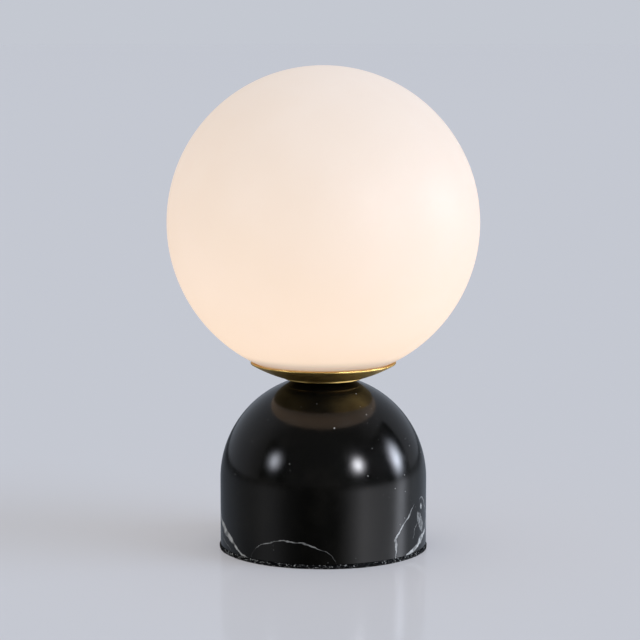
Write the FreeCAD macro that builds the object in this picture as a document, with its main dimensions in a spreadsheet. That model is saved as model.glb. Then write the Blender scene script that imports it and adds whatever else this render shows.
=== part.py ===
"""Glass globe table lamp: an opal globe in a brass dish on a domed marble base.

Millimetres, +Z up. The origin is the centre of the pad's underside, where the lamp
stands on a desk. The cord leaves at the rear, along +Y.
"""
import FreeCAD, Part
import math
import os
import Sketcher
from FreeCAD import Vector

doc = FreeCAD.newDocument("globe_lamp")

# ---------------------------------------------------------------- driving sizes
SIZES = (
    # marble base and what closes it underneath
    ("base_dia", 100.0, "marble base, across"),
    ("base_straight", 34.0, "height where the straight wall ends and the dome starts"),
    ("dome_flat_dia", 22.0, "flat ground on top of the dome"),
    ("bore_clearance", 0.25, "marble bore round the threaded tube"),
    ("cavity_dia", 56.0, "wiring cavity in the marble"),
    ("cavity_ceiling", 32.0, "ceiling of the wiring cavity over the desk"),
    ("pad_thick", 2.0, "foam pad"),
    ("pad_overhang", 0.75, "pad stands proud of the marble"),
    ("pad_hole_dia", 8.0, "screwdriver holes in the pad"),
    ("cover_land", 7.5, "the cover plate laps this far past the cavity's wall"),
    ("cover_thick", 1.5, "its sheet"),
    ("cover_sunk", 0.3, "how far it sits up inside the marble"),
    ("cover_clearance", 0.5, "rebate round the plate"),
    ("cover_screw_length", 8.0, "cover screw"),
    ("small_screw_dia", 3.0, "M3 screws"),
    ("csk_head_dia", 5.6, "countersunk head"),
    ("thread_clearance", 0.03, "between a modelled screw and its hole"),
    ("insert_dia", 5.0, "brass insert in the marble"),
    ("insert_length", 6.0, "brass insert"),
    # cord inlet
    ("cord_height", 13.0, "cord axis over the desk"),
    ("grommet_dia", 9.0, "rubber grommet in the marble wall"),
    ("grommet_bore", 6.4, "cord passage"),
    ("grommet_flange_dia", 12.0, "flange outside"),
    ("grommet_flange_thick", 1.8, "flange outside"),
    ("grommet_sunk", 1.2, "flange seat below the outer wall"),
    ("grommet_clearance", 0.1, "marble hole round the grommet"),
    # terminal block
    ("block_width", 18.0, "terminal block, across both poles"),
    ("block_length", 14.0, "terminal block, along the wires"),
    ("block_height", 11.0, "terminal block"),
    ("block_set_back", 16.0, "its centre behind the lamp's axis"),
    ("pole_pitch", 9.4, "between the two poles"),
    ("clamp_rise", 4.6, "clamp axis over the cover plate"),
    ("clamp_side", 4.4, "square of a clamp"),
    ("clamp_length", 12.0, "clamp"),
    ("clamp_bore", 2.5, "wire hole in a clamp"),
    ("clamp_screw_dia", 2.5, "clamp screw"),
    ("clamp_screw_spread", 7.0, "between the two screws of a clamp"),
    ("small_nut_flats", 5.5, "M3 nut"),
    ("small_nut_thick", 2.4, "M3 nut"),
    # threaded tube and what it clamps
    ("tube_dia", 10.0, "M10 threaded tube"),
    ("tube_wall", 1.0, "its wall"),
    ("tube_low", 24.0, "lower end over the desk"),
    ("tube_fit", 0.1, "holes of discs and washers round the tube"),
    ("base_washer_dia", 30.0, "washer under the cavity ceiling"),
    ("base_washer_thick", 1.5, "washer under the cavity ceiling"),
    ("lock_washer_dia", 18.0, "toothed washer"),
    ("lock_washer_thick", 0.8, "toothed washer"),
    ("nut_flats", 14.0, "M10 nut across flats"),
    ("nut_height", 3.0, "M10 nut"),
    ("bush_length", 6.0, "plastic bush in the tube's end"),
    ("bush_wall", 0.5, "plastic bush"),
    ("bush_flange", 0.8, "plastic bush"),
    ("bush_clearance", 0.04, "bush in the tube"),
    # brass under the globe
    ("foot_disc_dia", 38.0, "brass disc on the dome"),
    ("foot_disc_thick", 1.2, "brass disc on the dome"),
    ("dish_sheet", 1.0, "brass dish"),
    ("dish_flat_dia", 43.0, "flat floor of the dish"),
    ("dish_bowl_radius", 68.7, "curve of the dish's inside"),
    ("dish_rim_dia", 68.8, "inside of the rim"),
    ("ring_inner_dia", 37.8, "silicone ring under the glass"),
    ("ring_outer_dia", 50.0, "silicone ring under the glass"),
    ("ring_thick", 0.9, "silicone ring on the dish floor"),
    ("seat_clearance", 0.15, "glass over the silicone ring"),
    # spring fitter inside the globe's mouth
    ("spring_plate_dia", 34.0, "steel plate that carries the springs"),
    ("spring_plate_thick", 1.0, "steel plate that carries the springs"),
    ("spring_count", 3, "leaf springs"),
    ("spring_sheet", 0.4, "leaf spring"),
    ("spring_width", 8.0, "leaf spring"),
    ("spring_root", 10.8, "radius where a leaf starts"),
    ("spring_bend", 18.4, "radius where a leaf turns up"),
    ("spring_bulge_rise", 4.0, "height of the bulge over the plate"),
    ("spring_tip_radius", 17.4, "radius of the curled-in tip"),
    ("spring_tip_rise", 12.5, "height of the tip over the plate"),
    ("spring_clearance", 0.25, "bulge inside the glass mouth"),
    ("rivet_circle", 28.0, "circle of the rivets"),
    ("rivet_dia", 2.6, "rivet"),
    ("rivet_head_dia", 4.8, "rivet head"),
    ("rivet_head_rise", 1.0, "rivet head"),
    ("fitter_washer_dia", 18.0, "washer on the spring plate"),
    ("fitter_washer_thick", 0.8, "washer on the spring plate"),
    # lampholder
    ("bracket_sheet", 1.0, "lampholder bracket"),
    ("bracket_width", 12.0, "lampholder bracket"),
    ("bracket_span", 21.0, "over the bracket's arms"),
    ("bracket_ear", 4.6, "ear turned in at the top of an arm"),
    ("thin_nut_height", 2.4, "nut inside the bracket"),
    ("tube_stand", 0.3, "tube over the upper nut"),
    ("ear_clearance", 0.4, "ears over the tube's bush"),
    ("holder_dia", 23.0, "ceramic lampholder"),
    ("holder_height", 21.5, "ceramic lampholder"),
    ("holder_edge", 1.0, "rounding of its top edge"),
    ("holder_cover_thick", 1.5, "plate under the lampholder"),
    ("holder_screw_spread", 14.8, "between the lampholder's screws"),
    ("holder_screw_length", 8.0, "lampholder screw"),
    ("holder_screw_floor", 5.0, "ceramic under the screw heads"),
    ("cheese_head_dia", 5.0, "cheese head"),
    ("cheese_head_height", 2.0, "cheese head"),
    ("head_clearance", 0.2, "round a screw head in its well"),
    ("wire_hole_dia", 3.8, "wire hole in the cover plate"),
    ("wire_hole_spread", 7.0, "between the wire holes"),
    ("recess_depth", 6.0, "recess for the bulb's foot"),
    ("chamber_height", 12.5, "contact chamber"),
    ("chamber_depth", 5.2, "contact chamber, front to back"),
    ("pin_pitch", 9.0, "between the bulb's two pins"),
    ("pin_loop", 3.5, "between the legs of a pin"),
    ("pin_wire", 0.75, "pin wire"),
    ("pin_length", 13.0, "pin below the bulb's foot"),
    ("pin_buried", 2.0, "pin inside the foot"),
    ("pin_clearance", 0.18, "slit round a pin, lengthwise"),
    ("slit_width", 1.6, "slit for a pin"),
    ("contact_sheet", 0.3, "contact spring"),
    ("contact_width", 3.6, "contact spring"),
    ("contact_gap", 0.09, "contact beside the pin"),
    ("crimp_dia", 3.0, "crimp barrel under a contact"),
    ("crimp_spread", 7.4, "between the crimp barrels"),
    # wires
    ("wire_dia", 2.0, "insulated wire"),
    ("wire_spread", 3.8, "between the wires in the tube"),
    # bulb
    ("foot_length", 14.0, "bulb foot"),
    ("foot_width", 7.6, "bulb foot"),
    ("foot_clearance", 0.3, "recess round the bulb's foot"),
    ("foot_rest", 0.05, "bulb's foot over the recess floor"),
    ("foot_height", 6.8, "bulb foot"),
    ("bulb_dia", 16.0, "bulb"),
    ("bulb_wall", 1.0, "bulb wall"),
    ("bulb_floor", 2.0, "floor of the bulb's collar"),
    ("collar_height", 7.6, "collar of the bulb"),
    ("bulb_height", 52.0, "bulb over its foot's underside"),
    ("board_width", 11.0, "LED board"),
    ("board_thick", 1.0, "LED board"),
    ("board_height", 36.0, "LED board"),
    ("led_width", 2.8, "LED chip"),
    ("led_height", 3.5, "LED chip"),
    ("led_thick", 0.8, "LED chip"),
    ("led_rows", 5, "LED rows on each face"),
    ("led_pitch", 5.0, "between LED rows"),
    ("led_columns_apart", 5.2, "between LED columns"),
    ("led_first_rise", 12.0, "first LED row over the board's lower edge"),
    ("capacitor_dia", 5.0, "driver capacitor"),
    ("capacitor_height", 6.5, "driver capacitor"),
    ("chip_side", 4.0, "driver chip"),
    ("chip_thick", 1.6, "driver chip"),
    ("driver_rise", 1.5, "driver parts over the board's lower edge"),
    # globe
    ("globe_dia", 150.0, "opal glass globe"),
    ("globe_wall", 2.5, "glass"),
    ("globe_mouth_dia", 42.0, "opening under the globe"),
)

# heights and places that follow from the driving sizes
WORKED_OUT = (
    ("tube_hole", "(dims.tube_dia + 2 * dims.tube_fit) / 2"),
    ("tube_bore", "dims.tube_dia / 2 - dims.tube_wall"),
    ("bush_bore", "tube_bore - dims.bush_clearance - dims.bush_wall"),
    ("screw_hole", "dims.small_screw_dia / 2 + dims.thread_clearance"),
    ("dome_top", "dims.base_straight + sqrt((dims.base_dia / 2) ^ 2 - (dims.dome_flat_dia / 2) ^ 2)"),
    ("cover_bottom", "dims.pad_thick + dims.cover_sunk"),
    ("cover_top", "cover_bottom + dims.cover_thick"),
    ("cover_radius", "dims.cavity_dia / 2 + dims.cover_land"),
    ("cover_screw_at", "dims.cavity_dia / 2 + dims.cover_land / 2"),
    ("clamp_axis", "cover_top + dims.clamp_rise"),
    ("block_top", "cover_top + dims.block_height"),
    ("washer_bottom", "dims.cavity_ceiling - dims.base_washer_thick"),
    ("lock_bottom", "washer_bottom - dims.lock_washer_thick"),
    ("base_nut_bottom", "lock_bottom - dims.nut_height"),
    ("dish_under", "dome_top + dims.foot_disc_thick"),
    ("dish_floor", "dish_under + dims.dish_sheet"),
    ("bowl_centre", "dish_floor + sqrt(dims.dish_bowl_radius ^ 2 - (dims.dish_flat_dia / 2) ^ 2)"),
    ("globe_centre", "dish_floor + dims.ring_thick + sqrt((dims.globe_dia / 2 + dims.seat_clearance)"
                     " ^ 2 - (dims.globe_mouth_dia / 2) ^ 2)"),
    ("plate_top", "dish_floor + dims.spring_plate_thick"),
    ("fitter_washer_top", "plate_top + dims.fitter_washer_thick"),
    ("fitter_nut_top", "fitter_washer_top + dims.nut_height"),
    ("bracket_floor", "fitter_nut_top + dims.bracket_sheet"),
    ("thin_nut_top", "bracket_floor + dims.thin_nut_height"),
    ("tube_top", "thin_nut_top + dims.tube_stand"),
    ("bush_top", "tube_top + dims.bush_flange"),
    ("ear_bottom", "bush_top + dims.ear_clearance"),
    ("ear_top", "ear_bottom + dims.bracket_sheet"),
    ("holder_bottom", "ear_top + dims.holder_cover_thick"),
    ("holder_top", "holder_bottom + dims.holder_height"),
    ("chamber_top", "holder_bottom + dims.chamber_height"),
    ("recess_floor", "holder_top - dims.recess_depth"),
    ("head_seat", "holder_bottom + dims.holder_screw_floor"),
    ("bulb_bottom", "recess_floor + dims.foot_rest"),
    ("collar_bottom", "bulb_bottom + dims.foot_height"),
    ("collar_floor", "collar_bottom + dims.bulb_floor"),
    ("collar_top", "collar_bottom + dims.collar_height"),
    ("bulb_top", "bulb_bottom + dims.bulb_height"),
)


def fill_sheet(name, rows):
    """Make a spreadsheet with one aliased cell per row: alias, content."""
    sheet = doc.addObject("Spreadsheet::Sheet", name)
    for number, (alias, content) in enumerate(rows, start=1):
        sheet.set(f"A{number}", alias)
        sheet.set(f"B{number}", content)
        sheet.setAlias(f"B{number}", alias)
    doc.recompute()
    return sheet


dims = fill_sheet("dims", [(alias, str(number)) for alias, number, note in SIZES])
levels = fill_sheet("levels", [(alias, "=" + formula) for alias, formula in WORKED_OUT])


def value(expression):
    """The number that an expression over the two sheets gives now."""
    return float(dims.evalExpression(str(expression)))


# ---------------------------------------------------------------- sketch helpers
def origin_feature(body, role):
    """The plane or axis of a body's own origin that has this role."""
    return next(item for item in body.Origin.OriginFeatures if item.Role == role)


def rectangle(left, bottom, right, top):
    """Outline of a rectangle from four expressions."""
    return [(left, bottom), (right, bottom), (right, top), (left, top)]


def long_hole(half_length, radius):
    """Outline with two straight sides and round ends, lying along X."""
    flat = f"({half_length}) - ({radius})"
    return [(f"-({flat})", f"-({radius})"), (flat, f"-({radius})", (radius, 1)),
            (flat, radius), (f"-({flat})", radius, (radius, 1))]


def hexagon(across_flats):
    """Outline of a nut with two flats parallel to X."""
    corner = f"({across_flats}) / sqrt(3)"
    return [(f"{corner} * cos({60 * side} deg)", f"{corner} * sin({60 * side} deg)") for side in range(6)]


def pin_point(sketch, edge, end, at):
    """Tie one end of an edge to a place given by two expressions."""
    for kind, axis, expression in (("DistanceX", -2, at[0]), ("DistanceY", -1, at[1])):
        if abs(value(expression)) < 1e-9:
            sketch.addConstraint(Sketcher.Constraint("PointOnObject", edge, end, axis))
            continue
        tie = sketch.addConstraint(Sketcher.Constraint(kind, -1, 1, edge, end, value(expression)))
        sketch.setExpression(f"Constraints[{tie}]", str(expression))


def add_edge(sketch, start, finish, arc):
    """Add a line, or an arc (radius, 1 = counter-clockwise or -1); returns edge, start and finish ends."""
    if arc is None:
        edge = sketch.addGeometry(Part.LineSegment(start, finish), False)
        return edge, 1, 2
    radius = value(arc[0])
    chord = finish - start
    middle = (start + finish) / 2
    left = Vector(-chord.y, chord.x, 0).normalize()
    rise = math.sqrt(max(radius ** 2 - (chord.Length / 2) ** 2, 0.0))
    centre = middle + left * (rise * arc[1])
    first, last = (start, finish) if arc[1] > 0 else (finish, start)
    angles = [math.atan2(point.y - centre.y, point.x - centre.x) for point in (first, last)]
    circle = Part.Circle(centre, Vector(0, 0, 1), radius)
    edge = sketch.addGeometry(Part.ArcOfCircle(circle, angles[0], angles[1]), False)
    return (edge, 1, 2) if arc[1] > 0 else (edge, 2, 1)


def draw_outline(sketch, outline):
    """Draw a closed outline whose corners are (x, y) or (x, y, arc to the next corner)."""
    points = [Vector(value(corner[0]), value(corner[1]), 0) for corner in outline]
    edges = []
    for place, corner in enumerate(outline):
        arc = corner[2] if len(corner) > 2 else None
        edges.append(add_edge(sketch, points[place], points[(place + 1) % len(points)], arc))
    for place, (edge, start, finish) in enumerate(edges):
        following = edges[(place + 1) % len(edges)]
        sketch.addConstraint(Sketcher.Constraint("Coincident", edge, finish, following[0], following[1]))
        pin_point(sketch, edge, start, outline[place])
        arc = outline[place][2] if len(outline[place]) > 2 else None
        half_chord = (points[(place + 1) % len(points)] - points[place]).Length / 2
        if arc is None:
            continue
        if abs(value(arc[0]) - half_chord) < 1e-6:
            ahead = outline[(place + 1) % len(outline)]
            middle = [f"(({outline[place][axis]}) + ({ahead[axis]})) / 2" for axis in (0, 1)]
            free_axis = 0 if abs(points[place].x - points[(place + 1) % len(points)].x) < 1e-6 else 1
            kind = ("DistanceX", "DistanceY")[free_axis]
            if abs(value(middle[free_axis])) < 1e-9:
                sketch.addConstraint(Sketcher.Constraint("PointOnObject", edge, 3, (-2, -1)[free_axis]))
            else:
                tie = sketch.addConstraint(
                    Sketcher.Constraint(kind, -1, 1, edge, 3, value(middle[free_axis])))
                sketch.setExpression(f"Constraints[{tie}]", middle[free_axis])
        else:
            tie = sketch.addConstraint(Sketcher.Constraint("Radius", edge, value(arc[0])))
            sketch.setExpression(f"Constraints[{tie}]", str(arc[0]))


def draw_circle(sketch, across, along, radius):
    """Draw a circle from three expressions."""
    centre = Vector(value(across), value(along), 0)
    edge = sketch.addGeometry(Part.Circle(centre, Vector(0, 0, 1), value(radius)), False)
    pin_point(sketch, edge, 3, (across, along))
    tie = sketch.addConstraint(Sketcher.Constraint("Radius", edge, value(radius)))
    sketch.setExpression(f"Constraints[{tie}]", str(radius))


def new_sketch(body, plane, outlines=(), circles=(), offset=None):
    """Sketch on one of the body's origin planes, moved off along its normal by an expression."""
    sketch = body.newObject("Sketcher::SketchObject", body.Name + "_sketch")
    sketch.AttachmentSupport = [(origin_feature(body, plane), "")]
    sketch.MapMode = "FlatFace"
    if offset is not None:
        sketch.setExpression("AttachmentOffset.Base.z", str(offset))
    for outline in outlines:
        draw_outline(sketch, outline)
    for circle in circles:
        draw_circle(sketch, *circle)
    doc.recompute()
    return sketch


# ---------------------------------------------------------------- feature helpers
def new_body(label):
    body = doc.addObject("PartDesign::Body", label)
    body.Label = label
    return body


def pad(body, bottom, thick, outlines=(), circles=()):
    """Add a flat layer from a height upward."""
    sketch = new_sketch(body, "XY_Plane", outlines, circles, bottom)
    layer = body.newObject("PartDesign::Pad", body.Name + "_pad")
    layer.Profile = sketch
    layer.setExpression("Length", str(thick))
    doc.recompute()
    return layer


def cut_down(body, top, deep, outlines=(), circles=()):
    """Cut a pocket from a height downward, and make sure that it removes material."""
    before = body.Shape.Volume
    sketch = new_sketch(body, "XY_Plane", outlines, circles, top)
    pocket = body.newObject("PartDesign::Pocket", body.Name + "_pocket")
    pocket.Profile = sketch
    pocket.setExpression("Length", str(deep))
    doc.recompute()
    require_less(body, before)
    return pocket


def cut_back(body, start, deep, outlines=(), circles=()):
    """Cut a pocket toward the rear (+Y) from a distance behind the lamp's axis."""
    before = body.Shape.Volume
    sketch = new_sketch(body, "XZ_Plane", outlines, circles, f"-({start})")
    pocket = body.newObject("PartDesign::Pocket", body.Name + "_rear_pocket")
    pocket.Profile = sketch
    pocket.setExpression("Length", str(deep))
    doc.recompute()
    require_less(body, before)
    return pocket


def require_less(body, before):
    if not body.Shape.Volume < before - 1e-6:
        raise RuntimeError(body.Label + ": a cut removed nothing")


def turn(body, outline, kind="Revolution", axis_at=None):
    """Turn an outline of (radius, height) round Z, or round a vertical line behind the axis."""
    before = body.Shape.Volume if kind == "Groove" else 0.0
    if axis_at is None:
        sketch = new_sketch(body, "XZ_Plane", [outline])
        axis = "V_Axis"
    else:
        shifted = [(f"({axis_at}) + ({corner[0]})",) + tuple(corner[1:]) for corner in outline]
        sketch = new_sketch(body, "YZ_Plane", [shifted])
        line = Part.LineSegment(Vector(value(axis_at), 0, 0), Vector(value(axis_at), 10, 0))
        edge = sketch.addGeometry(line, True)
        sketch.addConstraint(Sketcher.Constraint("Vertical", edge))
        sketch.addConstraint(Sketcher.Constraint("PointOnObject", edge, 1, -1))
        tie = sketch.addConstraint(Sketcher.Constraint("DistanceX", -1, 1, edge, 1, value(axis_at)))
        sketch.setExpression(f"Constraints[{tie}]", str(axis_at))
        axis = "Axis0"
    feature = body.newObject("PartDesign::" + kind, body.Name + "_turned")
    feature.Profile = sketch
    feature.ReferenceAxis = (sketch, [axis])
    feature.Angle = 360
    doc.recompute()
    if kind == "Groove":
        require_less(body, before)
    return feature


def repeat_round(body, feature, count):
    """Repeat a feature round the body's Z axis."""
    pattern = body.newObject("PartDesign::PolarPattern", body.Name + "_pattern")
    pattern.Originals = [feature]
    pattern.Axis = (origin_feature(body, "Z_Axis"), [""])
    pattern.Angle = 360
    pattern.Occurrences = count
    body.Tip = pattern
    doc.recompute()
    return pattern


def turned(label, outline):
    body = new_body(label)
    turn(body, outline)
    return body


def flat_piece(label, bottom, thick, outlines=(), circles=()):
    body = new_body(label)
    pad(body, bottom, thick, outlines, circles)
    return body


def shaped(label, shape):
    piece = doc.addObject("Part::Feature", label)
    piece.Label = label
    piece.Shape = shape
    return piece


# ---------------------------------------------------------------- wire and strip helpers
def rounded_path(points, radii):
    """Straight runs through the points, joined by tangent arcs at each inner point."""
    edges = []
    last = points[0]
    for before, corner, after, radius in zip(points, points[1:], points[2:], radii):
        arriving = (corner - before).normalize()
        leaving = (after - corner).normalize()
        half_turn = arriving.getAngle(leaving) / 2
        back = radius * math.tan(half_turn)
        enter = corner - arriving * back
        leave = corner + leaving * back
        inward = (leaving - arriving).normalize()
        top = corner + inward * (radius / math.cos(half_turn) - radius)
        if (enter - last).Length > 1e-6:
            edges.append(Part.LineSegment(last, enter).toShape())
        edges.append(Part.Arc(enter, top, leave).toShape())
        last = leave
    if (points[-1] - last).Length > 1e-6:
        edges.append(Part.LineSegment(last, points[-1]).toShape())
    return Part.Wire(edges)


def easy_radii(points):
    """The largest arcs that the runs leave room for, one per inner point."""
    radii = []
    for before, corner, after in zip(points, points[1:], points[2:]):
        shorter = min((corner - before).Length, (after - corner).Length)
        turn_angle = (corner - before).getAngle(after - corner)
        radii.append(0.45 * shorter / math.tan(turn_angle / 2))
    return radii


def round_bar(points, radii, radius):
    """Round bar of one thickness along a rounded path."""
    path = rounded_path(points, radii)
    end = Part.Wire(Part.makeCircle(radius, points[0], points[1] - points[0]))
    bar = path.makePipeShell([end], True, False)
    expected = math.pi * radius ** 2 * path.Length
    if abs(bar.Volume - expected) > 0.01 * expected:
        raise RuntimeError("a round bar doesn't fill its path")
    return bar


def bent_strip(points, radii, sheet, wide, across):
    """Sheet strip bent along a rounded path and pulled both ways across it."""
    stroke = rounded_path(points, radii).makeOffset2D(sheet / 2)
    face = Part.Face(stroke)
    face.translate(across * (-wide / 2))
    return face.extrude(across * wide)


def copies_round(shape, count):
    """The shape and its copies, spaced evenly round the Z axis, as separate solids."""
    pieces = []
    for place in range(int(count)):
        piece = shape.copy()
        piece.rotate(Vector(0, 0, 0), Vector(0, 0, 1), 360.0 * place / count)
        pieces.append(piece)
    return Part.makeCompound(pieces)


COVER_SCREW_COUNT = 3
COVER_ANGLES = [-90 + 360 * place / COVER_SCREW_COUNT for place in range(COVER_SCREW_COUNT)]


# ---------------------------------------------------------------- marble base
def marble_base():
    """Solid marble: straight wall, half-sphere dome ground flat, wiring cavity and rebate below."""
    base = turned("marble_base", [
        ("dims.tube_dia / 2 + dims.bore_clearance", "dims.cavity_ceiling"),
        ("dims.cavity_dia / 2", "dims.cavity_ceiling"),
        ("dims.cavity_dia / 2", "levels.cover_top"),
        ("levels.cover_radius + dims.cover_clearance", "levels.cover_top"),
        ("levels.cover_radius + dims.cover_clearance", "dims.pad_thick"),
        ("dims.base_dia / 2", "dims.pad_thick"),
        ("dims.base_dia / 2", "dims.base_straight", ("dims.base_dia / 2", 1)),
        ("dims.dome_flat_dia / 2", "levels.dome_top"),
        ("dims.tube_dia / 2 + dims.bore_clearance", "levels.dome_top"),
    ])
    cut_back(base, "0", "dims.base_dia",
             circles=[("0", "dims.cord_height", "dims.grommet_dia / 2 + dims.grommet_clearance")])
    cut_back(base, "dims.base_dia / 2 - dims.grommet_sunk", "dims.base_dia / 2",
             circles=[("0", "dims.cord_height", "dims.grommet_flange_dia / 2 + dims.grommet_clearance")])
    insert_hole = turn(base, rectangle("0", "levels.cover_top", "dims.insert_dia / 2 + dims.thread_clearance",
                                       "levels.cover_top + dims.insert_length + 1"),
                       "Groove", "-levels.cover_screw_at")
    repeat_round(base, insert_hole, COVER_SCREW_COUNT)


def foot_pad():
    """Foam pad glued under the marble, a little proud of it, with screwdriver holes."""
    holes = [(f"levels.cover_screw_at * cos({angle} deg)",
              f"levels.cover_screw_at * sin({angle} deg)", "dims.pad_hole_dia / 2")
             for angle in COVER_ANGLES]
    flat_piece("foot_pad", "0", "dims.pad_thick",
               circles=[("0", "0", "dims.base_dia / 2 + dims.pad_overhang")] + holes)


def countersunk(bottom, length, shank, spare="0"):
    """Outline of a countersunk screw, or with some spare its hole, head down."""
    head = f"dims.csk_head_dia / 2 + {spare}"
    neck = f"{shank} + {spare}"
    return [("0", bottom), (head, bottom), (neck, f"{bottom} + dims.csk_head_dia / 2 - ({shank})"),
            (neck, f"{bottom} + {length}"), ("0", f"{bottom} + {length}")]


def base_cover_plate():
    """Steel plate in the rebate, with countersunk holes for its screws and the terminal block's."""
    plate = flat_piece("base_cover_plate", "levels.cover_bottom", "dims.cover_thick",
                       circles=[("0", "0", "levels.cover_radius")])
    outline = countersunk("levels.cover_bottom", "dims.cover_thick + 1", "dims.small_screw_dia / 2",
                          "dims.thread_clearance")
    turn(plate, outline, "Groove", "dims.block_set_back")
    hole = turn(plate, outline, "Groove", "-levels.cover_screw_at")
    repeat_round(plate, hole, COVER_SCREW_COUNT)


def cover_screws():
    screws = new_body("cover_screws")
    screw = turn(screws, countersunk("levels.cover_bottom", "dims.cover_screw_length",
                                     "dims.small_screw_dia / 2"),
                 "Revolution", "-levels.cover_screw_at")
    repeat_round(screws, screw, COVER_SCREW_COUNT)


def marble_inserts():
    """Brass threaded inserts glued into the marble above the cover plate."""
    inserts = new_body("marble_inserts")
    insert = turn(inserts, rectangle("levels.screw_hole", "levels.cover_top", "dims.insert_dia / 2",
                                     "levels.cover_top + dims.insert_length"),
                  "Revolution", "-levels.cover_screw_at")
    repeat_round(inserts, insert, COVER_SCREW_COUNT)


def cord_grommet():
    """Rubber grommet for the cord, turned upright and laid along +Y in the rear wall."""
    grommet = turned("cord_grommet", [
        ("dims.grommet_bore / 2", "dims.cavity_dia / 2"),
        ("dims.grommet_dia / 2", "dims.cavity_dia / 2"),
        ("dims.grommet_dia / 2", "dims.base_dia / 2 - dims.grommet_sunk"),
        ("dims.grommet_flange_dia / 2", "dims.base_dia / 2 - dims.grommet_sunk"),
        ("dims.grommet_flange_dia / 2",
         "dims.base_dia / 2 - dims.grommet_sunk + dims.grommet_flange_thick / 2",
         ("dims.grommet_flange_thick / 2", 1)),
        ("dims.grommet_flange_dia / 2 - dims.grommet_flange_thick / 2",
         "dims.base_dia / 2 - dims.grommet_sunk + dims.grommet_flange_thick"),
        ("dims.grommet_bore / 2", "dims.base_dia / 2 - dims.grommet_sunk + dims.grommet_flange_thick"),
    ])
    grommet.Placement = FreeCAD.Placement(Vector(0, 0, 0), FreeCAD.Rotation(Vector(1, 0, 0), -90))
    grommet.setExpression("Placement.Base.z", "dims.cord_height")


# ---------------------------------------------------------------- terminal block
POLES = ("-dims.pole_pitch / 2", "dims.pole_pitch / 2")
SCREW_PLACES = ("dims.block_set_back - dims.clamp_screw_spread / 2",
                "dims.block_set_back + dims.clamp_screw_spread / 2")


def terminal_block():
    """Plastic block with a square tunnel for each clamp and a well over each clamp screw."""
    block = flat_piece("terminal_block", "levels.cover_top", "dims.block_height", [rectangle(
        "-dims.block_width / 2", "dims.block_set_back - dims.block_length / 2",
        "dims.block_width / 2", "dims.block_set_back + dims.block_length / 2")])
    half = "(dims.clamp_side / 2 + dims.thread_clearance)"
    tunnels = [rectangle(f"{pole} - {half}", f"levels.clamp_axis - {half}",
                         f"{pole} + {half}", f"levels.clamp_axis + {half}") for pole in POLES]
    cut_back(block, "dims.block_set_back - dims.block_length / 2 - 1", "dims.block_length + 2", tunnels)
    wells = [(pole, place, "dims.clamp_screw_dia / 2 + dims.head_clearance")
             for pole in POLES for place in SCREW_PLACES]
    cut_down(block, "levels.block_top", "dims.block_height - dims.clamp_rise", circles=wells)
    cut_down(block, "levels.block_top", "dims.block_height",
             circles=[("0", "dims.block_set_back", "levels.screw_hole")])


def terminal_clamps():
    """Two brass bars, bored along the wires and tapped from above."""
    half = "dims.clamp_side / 2"
    bars = flat_piece("terminal_clamps", "levels.clamp_axis - dims.clamp_side / 2", "dims.clamp_side", [
        rectangle(f"{pole} - {half}", "dims.block_set_back - dims.clamp_length / 2",
                  f"{pole} + {half}", "dims.block_set_back + dims.clamp_length / 2") for pole in POLES])
    cut_back(bars, "dims.block_set_back - dims.clamp_length / 2 - 1", "dims.clamp_length + 2",
             circles=[(pole, "levels.clamp_axis", "dims.clamp_bore / 2") for pole in POLES])
    cut_down(bars, "levels.clamp_axis + dims.clamp_side / 2", "dims.clamp_side / 2",
             circles=[(pole, place, "dims.clamp_screw_dia / 2 + dims.thread_clearance")
                      for pole in POLES for place in SCREW_PLACES])


def terminal_screws():
    """Four slotted grub screws that end just over the wires."""
    tip = "levels.clamp_axis + dims.wire_dia / 2 + dims.head_clearance"
    screws = flat_piece("terminal_screws", tip, "dims.clamp_side",
                        circles=[(pole, place, "dims.clamp_screw_dia / 2")
                                 for pole in POLES for place in SCREW_PLACES])
    slot_half = "dims.clamp_screw_dia / 10"
    slots = [rectangle(f"{pole} - dims.clamp_screw_dia", f"{place} - {slot_half}",
                       f"{pole} + dims.clamp_screw_dia", f"{place} + {slot_half}")
             for pole in POLES for place in SCREW_PLACES]
    cut_down(screws, f"{tip} + dims.clamp_side", "dims.clamp_side / 6", slots)


def terminal_fixing():
    """Screw up through the cover plate and the block, and its nut on top."""
    screw = new_body("terminal_fixing_screw")
    turn(screw, countersunk("levels.cover_bottom",
                            "dims.cover_thick + dims.block_height + dims.small_nut_thick + 0.5",
                            "dims.small_screw_dia / 2"), "Revolution", "dims.block_set_back")
    nut = flat_piece("terminal_fixing_nut", "levels.block_top", "dims.small_nut_thick",
                     [hexagon("dims.small_nut_flats")], [("0", "0", "levels.screw_hole")])
    nut.setExpression("Placement.Base.y", "dims.block_set_back")


# ---------------------------------------------------------------- threaded tube and its nuts
def threaded_tube():
    edge = "dims.tube_wall / 4"
    turned("threaded_tube", [
        ("levels.tube_bore", "dims.tube_low"),
        (f"dims.tube_dia / 2 - {edge}", "dims.tube_low"),
        ("dims.tube_dia / 2", f"dims.tube_low + {edge}"),
        ("dims.tube_dia / 2", f"levels.tube_top - {edge}"),
        (f"dims.tube_dia / 2 - {edge}", "levels.tube_top"),
        ("levels.tube_bore", "levels.tube_top"),
    ])


def washer(label, bottom, thick, across):
    return flat_piece(label, bottom, thick, circles=[("0", "0", f"{across} / 2"),
                                                     ("0", "0", "levels.tube_hole")])


def lock_washer():
    """Washer with teeth all round its edge."""
    ring = washer("lock_washer", "levels.lock_bottom", "dims.lock_washer_thick", "dims.lock_washer_dia")
    notch = cut_down(ring, "levels.lock_bottom + dims.lock_washer_thick", "dims.lock_washer_thick", [rectangle(
        "dims.lock_washer_dia / 2 - 2", "-0.7", "dims.lock_washer_dia / 2 + 1", "0.7")])
    repeat_round(ring, notch, 12)


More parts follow.
